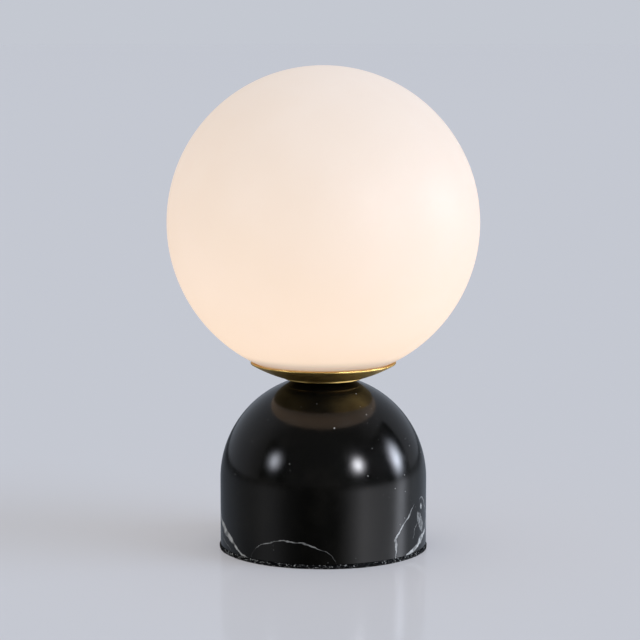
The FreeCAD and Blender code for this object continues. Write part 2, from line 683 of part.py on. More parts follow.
def tube_nut(label, bottom, high):
    """Hexagon nut on the threaded tube, its corners turned off top and bottom."""
    nut = flat_piece(label, bottom, high, [hexagon("dims.nut_flats")],
                     [("0", "0", "dims.tube_dia / 2 + dims.thread_clearance")])
    corner = "dims.nut_flats / sqrt(3)"
    turn(nut, [(f"{corner} + 0.2", f"{bottom} + {high} - 0.7"), (f"{corner} + 0.2", f"{bottom} + {high} + 0.1"),
               ("dims.nut_flats / 2 - 0.1", f"{bottom} + {high} + 0.1")], "Groove")


def tube_bush(label, end, inward):
    """Plastic bush in a tube end: a sleeve inside the bore and a flange over the edge."""
    sleeve = "levels.tube_bore - dims.bush_clearance"
    turned(label, [
        ("levels.bush_bore", f"{end} + ({inward}) * dims.bush_length"),
        (sleeve, f"{end} + ({inward}) * dims.bush_length"),
        (sleeve, end),
        ("dims.tube_dia / 2 - 0.1", end),
        ("dims.tube_dia / 2 - 0.1", f"{end} - ({inward}) * dims.bush_flange"),
        ("levels.bush_bore", f"{end} - ({inward}) * dims.bush_flange"),
    ])


# ---------------------------------------------------------------- brass under the globe
def foot_disc():
    """Small brass disc between the dome and the dish, with an eased edge."""
    ease = "dims.foot_disc_thick / 4"
    turned("foot_disc", [
        ("levels.tube_hole", "levels.dome_top"),
        (f"dims.foot_disc_dia / 2 - {ease}", "levels.dome_top", (ease, 1)),
        ("dims.foot_disc_dia / 2", f"levels.dome_top + {ease}"),
        ("dims.foot_disc_dia / 2", f"levels.dish_under - {ease}", (ease, 1)),
        (f"dims.foot_disc_dia / 2 - {ease}", "levels.dish_under"),
        ("levels.tube_hole", "levels.dish_under"),
    ])


def bowl_height(radius):
    """Height of the dish's inside at a radius outside its flat floor."""
    return f"levels.bowl_centre - sqrt(dims.dish_bowl_radius ^ 2 - ({radius}) ^ 2)"


def brass_dish():
    """Spun brass dish: flat floor, a bowl of one radius and a rolled lip."""
    outer = "(dims.dish_bowl_radius + dims.dish_sheet)"
    depth = "(levels.bowl_centre - levels.dish_under)"
    rim = "dims.dish_rim_dia / 2"
    rim_outside = f"{rim} * {outer} / dims.dish_bowl_radius"
    turned("brass_dish", [
        ("levels.tube_hole", "levels.dish_under"),
        (f"sqrt({outer} ^ 2 - {depth} ^ 2)", "levels.dish_under", (outer, 1)),
        (rim_outside, f"levels.bowl_centre - sqrt({outer} ^ 2 - ({rim_outside}) ^ 2)",
         ("dims.dish_sheet / 1.98", 1)),
        (rim, bowl_height(rim), ("dims.dish_bowl_radius", -1)),
        ("dims.dish_flat_dia / 2", "levels.dish_floor"),
        ("levels.tube_hole", "levels.dish_floor"),
    ])


def globe_seat_ring():
    """Silicone ring that cushions the glass: it follows the dish below and the globe above."""
    over_glass = "(dims.globe_dia / 2 + dims.seat_clearance)"
    edge = "dims.ring_outer_dia / 2"
    top = "levels.dish_floor + dims.ring_thick"
    turned("globe_seat_ring", [
        ("dims.ring_inner_dia / 2", "levels.dish_floor"),
        ("dims.dish_flat_dia / 2", "levels.dish_floor", ("dims.dish_bowl_radius", 1)),
        (edge, bowl_height(edge)),
        (edge, f"levels.globe_centre - sqrt({over_glass} ^ 2 - ({edge}) ^ 2)", (over_glass, -1)),
        ("dims.globe_mouth_dia / 2", top),
        ("dims.ring_inner_dia / 2", top),
    ])


# ---------------------------------------------------------------- spring fitter
def spring_plate():
    plate = flat_piece("spring_plate", "levels.dish_floor", "dims.spring_plate_thick",
                       circles=[("0", "0", "dims.spring_plate_dia / 2"), ("0", "0", "levels.tube_hole")])
    rivet_hole = turn(plate, rectangle("0", "levels.dish_floor", "dims.rivet_dia / 2 + dims.thread_clearance",
                                       "levels.plate_top + 1"), "Groove", "dims.rivet_circle / 2")
    repeat_round(plate, rivet_hole, int(dims.spring_count))


def globe_springs():
    """Bent leaves riveted to the plate; they bulge toward the glass mouth and curl in at the tip."""
    sheet = dims.spring_sheet
    low = levels.plate_top + sheet / 2
    bulge = dims.globe_mouth_dia / 2 - dims.spring_clearance - sheet / 2
    side = [(dims.spring_root, low), (dims.spring_bend, low),
            (bulge, levels.plate_top + dims.spring_bulge_rise),
            (dims.spring_tip_radius, levels.plate_top + dims.spring_tip_rise)]
    points = [Vector(0, behind, height) for behind, height in side]
    leaf = bent_strip(points, (1.0, 3.0), sheet, dims.spring_width, Vector(1, 0, 0))
    rivet_hole = Part.makeCylinder(dims.rivet_dia / 2 + dims.thread_clearance, 2.0,
                                   Vector(0, dims.rivet_circle / 2, levels.plate_top - 0.5))
    shaped("globe_springs", copies_round(leaf.cut(rivet_hole), dims.spring_count))


def spring_rivets():
    """Round-headed rivets through leaf and plate."""
    shoulder = "levels.plate_top + dims.spring_sheet"
    crown = "((dims.rivet_head_dia / 2) ^ 2 + dims.rivet_head_rise ^ 2) / (2 * dims.rivet_head_rise)"
    rivets = new_body("spring_rivets")
    rivet = turn(rivets, [
        ("0", "levels.dish_floor"),
        ("dims.rivet_dia / 2", "levels.dish_floor"),
        ("dims.rivet_dia / 2", shoulder),
        ("dims.rivet_head_dia / 2", shoulder, (crown, 1)),
        ("0", f"{shoulder} + dims.rivet_head_rise"),
    ], "Revolution", "dims.rivet_circle / 2")
    repeat_round(rivets, rivet, int(dims.spring_count))


# ---------------------------------------------------------------- lampholder
HOLDER_SCREWS = ("-dims.holder_screw_spread / 2", "dims.holder_screw_spread / 2")
PINS = ("-dims.pin_pitch / 2", "dims.pin_pitch / 2")


def holder_bracket():
    """Steel strip bent to a U with ears turned in: the nut holds its floor, the ears the lampholder."""
    sheet = dims.bracket_sheet
    arm = (dims.bracket_span - sheet) / 2
    tip = arm + sheet / 2 - dims.bracket_ear + sheet / 2
    ear = levels.ear_bottom + sheet / 2
    floor = levels.bracket_floor - sheet / 2
    points = [Vector(0, behind, height) for behind, height in
              ((-tip, ear), (-arm, ear), (-arm, floor), (arm, floor), (arm, ear), (tip, ear))]
    strip = bent_strip(points, (1.0,) * 4, sheet, dims.bracket_width, Vector(1, 0, 0))
    tube = Part.makeCylinder(dims.tube_dia / 2 + dims.thread_clearance, 3 * sheet,
                             Vector(0, 0, floor - sheet))
    strip = strip.cut(tube)
    for behind in HOLDER_SCREWS:
        hole = Part.makeCylinder(levels.screw_hole, 3 * sheet, Vector(0, value(behind), ear - sheet))
        strip = strip.cut(hole)
    shaped("holder_bracket", strip)


def lampholder_cover():
    """Ceramic plate that closes the contact chambers from below."""
    flat_piece("lampholder_cover", "levels.ear_top", "dims.holder_cover_thick", circles=(
        [("0", "0", "dims.holder_dia / 2")]
        + [(side + "dims.wire_hole_spread / 2", "0", "dims.wire_hole_dia / 2") for side in ("-", "")]
        + [("0", behind, "levels.screw_hole") for behind in HOLDER_SCREWS]))


def lampholder_body():
    """Ceramic lampholder: recess for the bulb's foot, a slit and chamber per pin, two screw wells."""
    edge = "dims.holder_edge"
    holder = turned("lampholder_body", [
        ("0", "levels.holder_bottom"), ("dims.holder_dia / 2", "levels.holder_bottom"),
        ("dims.holder_dia / 2", f"levels.holder_top - {edge}", (edge, 1)),
        (f"dims.holder_dia / 2 - {edge}", "levels.holder_top"), ("0", "levels.holder_top")])
    cut_down(holder, "levels.holder_top", "dims.recess_depth", [long_hole(
        "dims.foot_length / 2 + dims.foot_clearance", "dims.foot_width / 2 + dims.foot_clearance")])
    half_slit = "((dims.pin_loop + dims.pin_wire) / 2 + dims.pin_clearance)"
    cut_down(holder, "levels.recess_floor", "dims.holder_height", [rectangle(
        f"{pin} - {half_slit}", "-dims.slit_width / 2", f"{pin} + {half_slit}", "dims.slit_width / 2")
        for pin in PINS])
    cut_down(holder, "levels.chamber_top", "dims.chamber_height", [rectangle(
        f"{pin} - {half_slit} - 0.1", "-dims.chamber_depth / 2",
        f"{pin} + {half_slit} + 0.1", "dims.chamber_depth / 2") for pin in PINS])
    cut_down(holder, "levels.holder_top", "dims.holder_height - dims.holder_screw_floor",
             circles=[("0", behind, "dims.cheese_head_dia / 2 + dims.head_clearance")
                      for behind in HOLDER_SCREWS])
    cut_down(holder, "levels.head_seat", "dims.holder_screw_floor",
             circles=[("0", behind, "levels.screw_hole") for behind in HOLDER_SCREWS])


def lampholder_contacts():
    """Two U-shaped contact springs that pinch the pins, each with a crimp barrel for its wire."""
    sheet = dims.contact_sheet
    pinch = dims.pin_wire / 2 + dims.contact_gap + sheet / 2
    wide = dims.slit_width
    bridge = levels.holder_bottom + 1.4
    half_side = [(wide, bridge + 3.0), (pinch, bridge + 7.0), (wide, bridge + 10.2)]
    side = [(-behind, height) for behind, height in reversed(half_side)] + [(-wide, bridge), (wide, bridge)]
    points = [Vector(0, behind, height) for behind, height in side + half_side]
    radii = (1.0, 1.0, 0.8, 0.8, 1.0, 1.0)
    clip = bent_strip(points, radii, sheet, dims.contact_width, Vector(1, 0, 0))
    contacts = []
    for sign in (-1, 1):
        contact = clip.copy()
        contact.translate(Vector(sign * dims.pin_pitch / 2, 0, 0))
        foot = Vector(sign * dims.crimp_spread / 2, 0, levels.holder_bottom + 0.05)
        high = bridge - sheet / 2 - foot.z
        barrel = Part.makeCylinder(dims.crimp_dia / 2, high + sheet / 2, foot)
        bore = Part.makeCylinder(dims.wire_dia / 2 + dims.thread_clearance, high, foot)
        contacts.append(contact.fuse(barrel).cut(bore).removeSplitter())
    shaped("lampholder_contacts", Part.makeCompound([piece.Solids[0] for piece in contacts]))


def lampholder_screws():
    """Two slotted cheese-head screws down through the ceramic into the bracket's ears."""
    screws = new_body("lampholder_screws")
    screw = turn(screws, [
        ("0", "levels.head_seat - dims.holder_screw_length"),
        ("dims.small_screw_dia / 2", "levels.head_seat - dims.holder_screw_length"),
        ("dims.small_screw_dia / 2", "levels.head_seat"),
        ("dims.cheese_head_dia / 2", "levels.head_seat"),
        ("dims.cheese_head_dia / 2", "levels.head_seat + dims.cheese_head_height"),
        ("0", "levels.head_seat + dims.cheese_head_height"),
    ], "Revolution", "dims.holder_screw_spread / 2")
    repeat_round(screws, screw, len(HOLDER_SCREWS))


def wires():
    """Two insulated wires from the contacts down the tube, round a bend and into the clamps."""
    top = levels.holder_bottom + 1.4 - dims.contact_sheet / 2 - 0.05
    clamp_entry = dims.block_set_back - dims.clamp_length / 2
    for label, sign in (("wire_live", 1), ("wire_neutral", -1)):
        crimp = sign * dims.crimp_spread / 2
        inside = sign * dims.wire_spread / 2
        pole = sign * dims.pole_pitch / 2
        points = [
            Vector(crimp, 0, top),
            Vector(crimp, 0, levels.holder_bottom - 1.0),
            Vector(inside, 0, levels.bush_top),
            Vector(inside, 0, dims.tube_low - dims.bush_flange - 1.5),
            Vector(pole, 0.4, levels.clamp_axis + 5.0),
            Vector(pole, clamp_entry - 5.4, levels.clamp_axis),
            Vector(pole, clamp_entry + 2.0, levels.clamp_axis),
        ]
        radii = easy_radii(points)
        print(label, "bend radii", [round(radius, 1) for radius in radii])
        shaped(label, round_bar(points, radii, dims.wire_dia / 2))


# ---------------------------------------------------------------- bulb
def bulb_base():
    """Bulb foot with round ends and the open collar above it, drilled for the pins."""
    base = flat_piece("bulb_base", "levels.bulb_bottom", "dims.foot_height",
                      [long_hole("dims.foot_length / 2", "dims.foot_width / 2")])
    inside = "dims.bulb_dia / 2 - dims.bulb_wall"
    turn(base, [
        ("0", "levels.collar_bottom"), ("dims.bulb_dia / 2 - 0.5", "levels.collar_bottom"),
        ("dims.bulb_dia / 2", "levels.collar_bottom + 0.5"), ("dims.bulb_dia / 2", "levels.collar_top"),
        (inside, "levels.collar_top"), (inside, "levels.collar_floor"), ("0", "levels.collar_floor")])
    legs = [(f"{pin} + {side} * dims.pin_loop / 2", "0", "dims.pin_wire / 2 + dims.thread_clearance")
            for pin in PINS for side in (-1, 1)]
    cut_down(base, "levels.bulb_bottom + dims.pin_buried", "dims.pin_buried", circles=legs)


def bulb_cover():
    """Frosted tube with a half-sphere end, standing on the collar."""
    outside = "dims.bulb_dia / 2"
    inside = "(dims.bulb_dia / 2 - dims.bulb_wall)"
    shoulder = f"levels.bulb_top - {outside}"
    turned("bulb_cover", [
        (inside, "levels.collar_top"), (outside, "levels.collar_top"),
        (outside, shoulder, (outside, 1)), ("0", "levels.bulb_top"),
        ("0", "levels.bulb_top - dims.bulb_wall", (inside, -1)), (inside, shoulder)])


def bulb_pins():
    """Two hairpin loops of wire."""
    top = levels.bulb_bottom + dims.pin_buried
    bottom = levels.bulb_bottom - dims.pin_length + dims.pin_wire / 2
    half = dims.pin_loop / 2
    loops = []
    for sign in (-1, 1):
        middle = sign * dims.pin_pitch / 2
        points = [Vector(middle - half, 0, top), Vector(middle - half, 0, bottom),
                  Vector(middle + half, 0, bottom), Vector(middle + half, 0, top)]
        radius = half * 0.98
        loops.append(round_bar(points, (radius, radius), dims.pin_wire / 2))
    shaped("bulb_pins", Part.makeCompound(loops))


def bulb_board():
    flat_piece("bulb_board", "levels.collar_floor", "dims.board_height", [rectangle(
        "-dims.board_width / 2", "-dims.board_thick / 2", "dims.board_width / 2", "dims.board_thick / 2")])


def bulb_leds():
    """Two columns of LED chips on each face of the board."""
    chips = []
    for row in range(int(dims.led_rows)):
        height = levels.collar_floor + dims.led_first_rise + row * dims.led_pitch
        for column in (-1, 1):
            left = column * dims.led_columns_apart / 2 - dims.led_width / 2
            for front in (-dims.board_thick / 2 - dims.led_thick, dims.board_thick / 2):
                chips.append(Part.makeBox(dims.led_width, dims.led_thick, dims.led_height,
                                          Vector(left, front, height)))
    shaped("bulb_leds", Part.makeCompound(chips))


def bulb_driver():
    """Driver capacitor on the front of the board and its chip on the back."""
    low = levels.collar_floor + dims.driver_rise
    capacitor_at = Vector(0, -(dims.board_thick + dims.capacitor_dia) / 2, low)
    capacitor = Part.makeCylinder(dims.capacitor_dia / 2, dims.capacitor_height, capacitor_at)
    chip = Part.makeBox(dims.chip_side, dims.chip_thick, dims.chip_side,
                        Vector(-dims.chip_side / 2, dims.board_thick / 2, low))
    shaped("bulb_driver", Part.makeCompound([capacitor, chip]))


# ---------------------------------------------------------------- globe
def glass_globe():
    """Opal glass sphere of even wall with a cut mouth below."""
    outside = "dims.globe_dia / 2"
    inside = "(dims.globe_dia / 2 - dims.globe_wall)"
    mouth = "dims.globe_mouth_dia / 2"
    turned("glass_globe", [
        (mouth, f"levels.globe_centre - sqrt(({outside}) ^ 2 - ({mouth}) ^ 2)", (outside, 1)),
        (outside, "levels.globe_centre", (outside, 1)),
        ("0", f"levels.globe_centre + {outside}"),
        ("0", f"levels.globe_centre + {inside}", (inside, -1)),
        (inside, "levels.globe_centre", (inside, -1)),
        (mouth, f"levels.globe_centre - sqrt({inside} ^ 2 - ({mouth}) ^ 2)"),
    ])


# ---------------------------------------------------------------- build and write
marble_base()
foot_pad()
base_cover_plate()
cover_screws()
marble_inserts()
cord_grommet()
terminal_block()
terminal_clamps()
terminal_screws()
terminal_fixing()
threaded_tube()
washer("base_washer", "levels.washer_bottom", "dims.base_washer_thick", "dims.base_washer_dia")
lock_washer()
tube_nut("base_nut", "levels.base_nut_bottom", "dims.nut_height")
tube_bush("tube_bush_lower", "dims.tube_low", "1")
tube_bush("tube_bush_upper", "levels.tube_top", "-1")
foot_disc()
brass_dish()
globe_seat_ring()
spring_plate()
globe_springs()
spring_rivets()
washer("fitter_washer", "levels.plate_top", "dims.fitter_washer_thick", "dims.fitter_washer_dia")
tube_nut("fitter_nut", "levels.fitter_washer_top", "dims.nut_height")
holder_bracket()
tube_nut("bracket_nut", "levels.bracket_floor", "dims.thin_nut_height")
lampholder_cover()
lampholder_body()
lampholder_contacts()
lampholder_screws()
wires()
bulb_base()
bulb_cover()
bulb_pins()
bulb_board()
bulb_leds()
bulb_driver()
glass_globe()
doc.recompute()

for thing in doc.Objects:
    if "Invalid" in thing.State or "Error" in thing.State:
        raise RuntimeError(f"{thing.Label}: {thing.State}")

pieces = [thing for thing in doc.Objects if thing.TypeId in ("PartDesign::Body", "Part::Feature")]
os.makedirs("parts", exist_ok=True)
for piece in pieces:
    if piece.Shape.isNull() or not piece.Shape.isValid() or not piece.Shape.Solids:
        raise RuntimeError(piece.Label + ": no valid solid")
for piece in pieces:
    piece.Shape.exportStep(f"parts/{piece.Label}.step")
    box = piece.Shape.BoundBox
    print(f"{piece.Label:24s} solids {len(piece.Shape.Solids)}  volume {piece.Shape.Volume:10.2f}"
          f"  z {box.ZMin:8.3f} {box.ZMax:8.3f}")
print(len(pieces), "pieces")
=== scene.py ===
"""Glass globe table lamp: opal globe, brass dish and domed black marble base.

Metres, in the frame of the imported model: +Z up, the front toward -Y, the cord inlet at +Y.
"""
import math

import bmesh
import bpy
from mathutils import Matrix, Vector


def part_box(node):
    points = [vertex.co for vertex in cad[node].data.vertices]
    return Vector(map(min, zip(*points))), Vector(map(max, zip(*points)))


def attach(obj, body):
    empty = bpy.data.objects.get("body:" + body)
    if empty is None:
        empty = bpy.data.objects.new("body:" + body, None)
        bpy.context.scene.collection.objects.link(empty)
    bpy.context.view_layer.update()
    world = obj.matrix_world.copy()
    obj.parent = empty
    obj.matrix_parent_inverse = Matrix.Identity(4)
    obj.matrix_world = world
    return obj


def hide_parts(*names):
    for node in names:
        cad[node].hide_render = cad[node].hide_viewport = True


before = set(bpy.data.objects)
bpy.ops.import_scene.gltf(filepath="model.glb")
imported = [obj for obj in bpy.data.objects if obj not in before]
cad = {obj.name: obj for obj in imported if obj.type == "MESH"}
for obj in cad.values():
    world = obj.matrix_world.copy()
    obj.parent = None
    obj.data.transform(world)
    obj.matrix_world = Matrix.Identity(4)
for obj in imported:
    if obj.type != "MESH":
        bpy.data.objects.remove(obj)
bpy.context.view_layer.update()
scene = bpy.context.scene
scene.view_settings.view_transform = "Standard"
MM = 0.001
CM = 0.01

# ---------------------------------------------------------------- camera
# The photograph looks at the lamp from about a metre in front and a little above
# the globe's middle, tilted down. Its frame is square.
CAMERA_DISTANCE = 1.100
CAMERA_HEIGHT = 0.2514
CAMERA_ASIDE = -0.0016
CAMERA_TILT = 0.1270
FOCAL_PIXELS = 2300.7
PICTURE_PIXELS = 640
SENSOR_WIDTH = 36.0

camera_data = bpy.data.cameras.new("camera")
camera_data.sensor_width = SENSOR_WIDTH
camera_data.lens = camera_data.sensor_width * FOCAL_PIXELS / PICTURE_PIXELS
camera = bpy.data.objects.new("camera", camera_data)
camera.location = (CAMERA_ASIDE, -CAMERA_DISTANCE, CAMERA_HEIGHT)
camera.rotation_euler = (math.pi / 2 - CAMERA_TILT, 0, 0)
scene.collection.objects.link(camera)
scene.camera = camera

# ---------------------------------------------------------------- floor and light
# A pale cool table that runs to the horizon, in even room light, with a wide window high
# on the right. Polished faces see a table, a sky and soft cards that are set for them.
BACKDROP = (0.552, 0.578, 0.638)
ROOM_LIGHT = (0.575, 0.600, 0.615)
FLOOR_WIDE = 60.0
FLOOR_PAINT = (0.52, 0.53, 0.56)
FLOOR_GLOW = (0.235, 0.222, 0.230)
FLOOR_GLOSS = 0.14
FLOOR_GLOSS_ROUGHNESS = 0.10
# how bright polished faces see the table, by direction in degrees round from the front;
# it is dimmer where they look at it nearly level
TABLE_GLARE = (
    (-180, 0.20), (-150, 0.16), (-120, 0.22), (-88, 0.20), (-62, 0.37), (-38, 0.08),
    (0, 0.03), (22, 0.20), (34, 0.85), (45, 1.60), (57, 1.40), (72, 1.15), (84, 1.35),
    (96, 3.2), (107, 0.95), (121, 0.45), (150, 0.30), (180, 0.20),
)
TABLE_GLARE_TINT = (0.94, 1.06, 1.26)
GLARE_WHEN_LEVEL = 0.15
GLARE_FULL_STEEPNESS = 0.12
# the sky that they see is dark toward the front and full toward the rear
SKY_GLARE = (0.36, 0.40, 0.47)
SKY_DARK = 0.22
SKY_DARK_UP_TO = -0.40
SKY_FULL_FROM = 0.25


def new_material(name):
    """A material with its node tree and main shader."""
    material = bpy.data.materials.new(name)
    material.use_nodes = True
    tree = material.node_tree
    return material, tree, tree.nodes["Principled BSDF"]


def add_node(tree, kind, **settings):
    """Add a shader node; settings are its properties, or inputs where a socket has that name."""
    node = tree.nodes.new(kind)
    for name, setting in settings.items():
        if name in node.inputs:
            node.inputs[name].default_value = setting
        else:
            setattr(node, name, setting)
    return node


def object_place(tree):
    """Add a place in the object's own coordinates and return its output."""
    return add_node(tree, "ShaderNodeTexCoord").outputs["Object"]


def split_vector(tree, source):
    """Split a vector and return its X, Y and Z outputs."""
    node = tree.nodes.new("ShaderNodeSeparateXYZ")
    tree.links.new(source, node.inputs[0])
    return node.outputs


def feed(tree, sockets, sources):
    """Give each socket an output to follow or a constant; None leaves it as it is."""
    for socket, source in zip(sockets, sources):
        if isinstance(source, bpy.types.NodeSocket):
            tree.links.new(source, socket)
        elif source is not None:
            socket.default_value = source


def math_node(tree, operation, first, second=None, third=None, clamp=False):
    """Add a Math node fed by sockets or plain numbers and return its output."""
    node = tree.nodes.new("ShaderNodeMath")
    node.operation = operation
    node.use_clamp = clamp
    feed(tree, node.inputs, (first, second, third))
    return node.outputs[0]


def vector_node(tree, operation, first, second=None):
    """Add a Vector Math node fed by sockets or vectors and return its output."""
    node = tree.nodes.new("ShaderNodeVectorMath")
    node.operation = operation
    feed(tree, node.inputs, (first, second))
    return node.outputs["Value" if operation == "LENGTH" else "Vector"]


def ramp_between(tree, source, low, high, at_low, at_high, smooth=True):
    """Map a value from one range to another, held at both ends."""
    node = tree.nodes.new("ShaderNodeMapRange")
    node.interpolation_type = "SMOOTHSTEP" if smooth else "LINEAR"
    names = ("Value", "From Min", "From Max", "To Min", "To Max")
    feed(tree, [node.inputs[name] for name in names], (source, low, high, at_low, at_high))
    return node.outputs["Result"]


def mix_colour(tree, factor, first, second):
    """Mix two colours, each a socket or plain numbers, by a factor."""
    node = tree.nodes.new("ShaderNodeMix")
    node.data_type = "RGBA"
    feed(tree, (node.inputs[0], node.inputs[6], node.inputs[7]), (factor, first, second))
    return node.outputs[2]


def mix_shaders(tree, factor, first, second):
    """Mix two shaders by a factor."""
    node = tree.nodes.new("ShaderNodeMixShader")
    feed(tree, node.inputs, (factor, first, second))
    return node.outputs[0]


def curve_node(tree, source, points, handles="VECTOR"):
    """Run a value through a curve of (value in, value out) points, held level past its ends."""
    node = tree.nodes.new("ShaderNodeFloatCurve")
    curve = node.mapping.curves[0]
    for value_in, value_out in points[1:-1]:
        curve.points.new(value_in, value_out)
    for point, place in zip(curve.points, points):
        point.location = place
        point.handle_type = handles
    node.mapping.use_clip = False
    node.mapping.extend = "HORIZONTAL"
    node.mapping.update()
    tree.links.new(source, node.inputs["Value"])
    return node.outputs[0]


def staged_sheet(name, half_width, half_height):
    """Make a flat staged rectangle with no material yet."""
    bm = bmesh.new()
    bmesh.ops.create_grid(bm, x_segments=1, y_segments=1, size=1)
    bmesh.ops.scale(bm, vec=(half_width, half_height, 1), verts=bm.verts)
    mesh = bpy.data.meshes.new(name)
    bm.to_mesh(mesh)
    bm.free()
    sheet = bpy.data.objects.new(name, mesh)
    scene.collection.objects.link(sheet)
    return sheet


floor = staged_sheet("floor", FLOOR_WIDE / 2, FLOOR_WIDE / 2)
floor_material, tree, shader = new_material("pale_table")
shader.inputs["Base Color"].default_value = (*FLOOR_PAINT, 1)
shader.inputs["Emission Color"].default_value = (*FLOOR_GLOW, 1)
shader.inputs["Emission Strength"].default_value = 1.0
shader.inputs["Specular IOR Level"].default_value = 0
polish = add_node(tree, "ShaderNodeBsdfGlossy", Roughness=FLOOR_GLOSS_ROUGHNESS)
table = mix_shaders(tree, FLOOR_GLOSS, shader.outputs[0], polish.outputs[0])
came_from = split_vector(tree, add_node(tree, "ShaderNodeNewGeometry").outputs["Incoming"])
turned = math_node(tree, "ARCTAN2", math_node(tree, "MULTIPLY", came_from["X"], -1.0),
                   came_from["Y"])
brightness = curve_node(tree, math_node(tree, "DEGREES", turned), TABLE_GLARE, "AUTO")
steepness = ramp_between(tree, came_from["Z"], 0.0, GLARE_FULL_STEEPNESS, GLARE_WHEN_LEVEL, 1.0)
glare = add_node(tree, "ShaderNodeEmission", Color=(*TABLE_GLARE_TINT, 1))
tree.links.new(math_node(tree, "MULTIPLY", brightness, steepness), glare.inputs["Strength"])
in_polish = add_node(tree, "ShaderNodeLightPath").outputs["Is Glossy Ray"]
tree.links.new(mix_shaders(tree, in_polish, table, glare.outputs[0]),
               tree.nodes["Material Output"].inputs[0])
floor.data.materials.append(floor_material)

world = bpy.data.worlds.new("studio")
scene.world = world
world.use_nodes = True
tree = world.node_tree
for node in list(tree.nodes):
    tree.nodes.remove(node)
facing = split_vector(tree, add_node(tree, "ShaderNodeTexCoord").outputs["Generated"])
fullness = ramp_between(tree, facing["Y"], SKY_DARK_UP_TO, SKY_FULL_FROM, SKY_DARK, 1.0)
sky = vector_node(tree, "SCALE", SKY_GLARE)
tree.links.new(fullness, sky.node.inputs["Scale"])
path = add_node(tree, "ShaderNodeLightPath")
lit = mix_colour(tree, path.outputs["Is Glossy Ray"], (*ROOM_LIGHT, 1), sky)
seen = mix_colour(tree, path.outputs["Is Camera Ray"], lit, (*BACKDROP, 1))
background = add_node(tree, "ShaderNodeBackground", Strength=1.0)
output = add_node(tree, "ShaderNodeOutputWorld")
tree.links.new(seen, background.inputs["Color"])
tree.links.new(background.outputs[0], output.inputs[0])


def aim(staged, toward):
    """Turn a lamp or a card so that it faces a point."""
    staged.rotation_euler = (toward - staged.location).to_track_quat("-Z", "Y").to_euler()


CARD_TARGET = Vector((0, 0, 0.05))
CARD_DISTANCE = 1.6
# direction from the lamp, spread across and up in metres, brightness, colour
CARDS = {
    "card_left": ((-0.81, -0.48, 0.35), 0.21, 0.24, 18.0, (0.84, 0.99, 1.24)),
    "card_right": ((0.61, -0.71, 0.34), 0.19, 0.22, 52.0, (0.90, 1.03, 1.24)),
    "card_far_right": ((0.97, 0.05, 0.24), 0.25, 0.36, 27.0, (0.83, 0.97, 1.22)),
}
# a card's light fades to nothing at this many times its spread from the middle
CARD_REACH = 2.2
CARD_FALLOFF = 3.2
# the table takes no light from the cards
card_receivers = bpy.data.collections.new("card_receivers")
card_receivers.objects.link(floor)
card_receivers.collection_objects[0].light_linking.link_state = "EXCLUDE"

for name, (direction, across, up, brightness, colour) in CARDS.items():
    card = staged_sheet(name, CARD_REACH * across, CARD_REACH * up)
    card.location = CARD_TARGET + Vector(direction).normalized() * CARD_DISTANCE
    aim(card, CARD_TARGET)
    card_material, tree, shader = new_material(name)
    spread = vector_node(tree, "MULTIPLY", object_place(tree), (1 / across, 1 / up, 0))
    away = vector_node(tree, "LENGTH", spread)
    fade = math_node(tree, "POWER", ramp_between(tree, away, 0.0, CARD_REACH, 1.0, 0.0),
                     CARD_FALLOFF)
    shader.inputs["Base Color"].default_value = (0, 0, 0, 1)
    shader.inputs["Specular IOR Level"].default_value = 0
    shader.inputs["Emission Color"].default_value = (*colour, 1)
    tree.links.new(math_node(tree, "MULTIPLY", fade, brightness),
                   shader.inputs["Emission Strength"])
    card.data.materials.append(card_material)
    card.visible_camera = card.visible_diffuse = card.visible_shadow = False
    card.visible_transmission = False
    card.light_linking.receiver_collection = card_receivers

WINDOW_ENERGY = 1.0
WINDOW_COLOUR = (0.68, 0.85, 1.12)
WINDOW_AT = (1.2, -0.36, 0.82)
WINDOW_DEGREES = 40
sun = bpy.data.lights.new("high_window", "SUN")
sun.energy = WINDOW_ENERGY
sun.color = WINDOW_COLOUR
sun.angle = math.radians(WINDOW_DEGREES)
high_window = bpy.data.objects.new("high_window", sun)
high_window.location = WINDOW_AT
aim(high_window, Vector((0, 0, 0)))
high_window.visible_glossy = False
scene.collection.objects.link(high_window)

# ---------------------------------------------------------------- marble base
# One block of black marble, turned to a straight wall under a half-round dome and
# polished. White calcite veins and specks run through it; the wiring cavity is below.
BASE_RADIUS = 50 * MM
DOME_CENTRE = 34 * MM
MARBLE_BOTTOM = 2 * MM
DOME_FLAT_RADIUS = 11 * MM
MARBLE_EDGE = 0.35 * MM
CAVITY_RADIUS = 28 * MM
CAVITY_CEILING = 32 * MM
REBATE_RADIUS = 36 * MM
REBATE_TOP = 3.8 * MM
BORE_RADIUS = 5.25 * MM
MARBLE_STEPS_ROUND = 192
MERGE_WITHIN = 1e-7


def draw_profile(bm, start, *steps):
    """Draw an open profile in the XZ plane from a start, by steps.

    A step is a (radius, height) point or ("arc", centre, degrees, edges).
    """
    last = bm.verts.new((start[0], 0, start[1]))
    for step in steps:
        if step[0] == "arc":
            centre, degrees, edges = step[1:]
            spun = bmesh.ops.spin(bm, geom=[last], cent=(centre[0], 0, centre[1]),
                                  axis=(0, 1, 0), angle=math.radians(degrees), steps=edges)
            last = [item for item in spun["geom_last"] if isinstance(item, bmesh.types.BMVert)][0]
        else:
            following = bm.verts.new((step[0], 0, step[1]))
            bm.edges.new((last, following))
            last = following


def turn_profile(bm, steps_round):
    """Spin everything drawn so far all the way round the lamp's axis and close it."""
    bmesh.ops.spin(bm, geom=bm.verts[:] + bm.edges[:], cent=(0, 0, 0), axis=(0, 0, 1),
                   angle=2 * math.pi, steps=steps_round, use_merge=True)
    bmesh.ops.remove_doubles(bm, verts=bm.verts, dist=MERGE_WITHIN)
    bmesh.ops.recalc_face_normals(bm, faces=bm.faces)


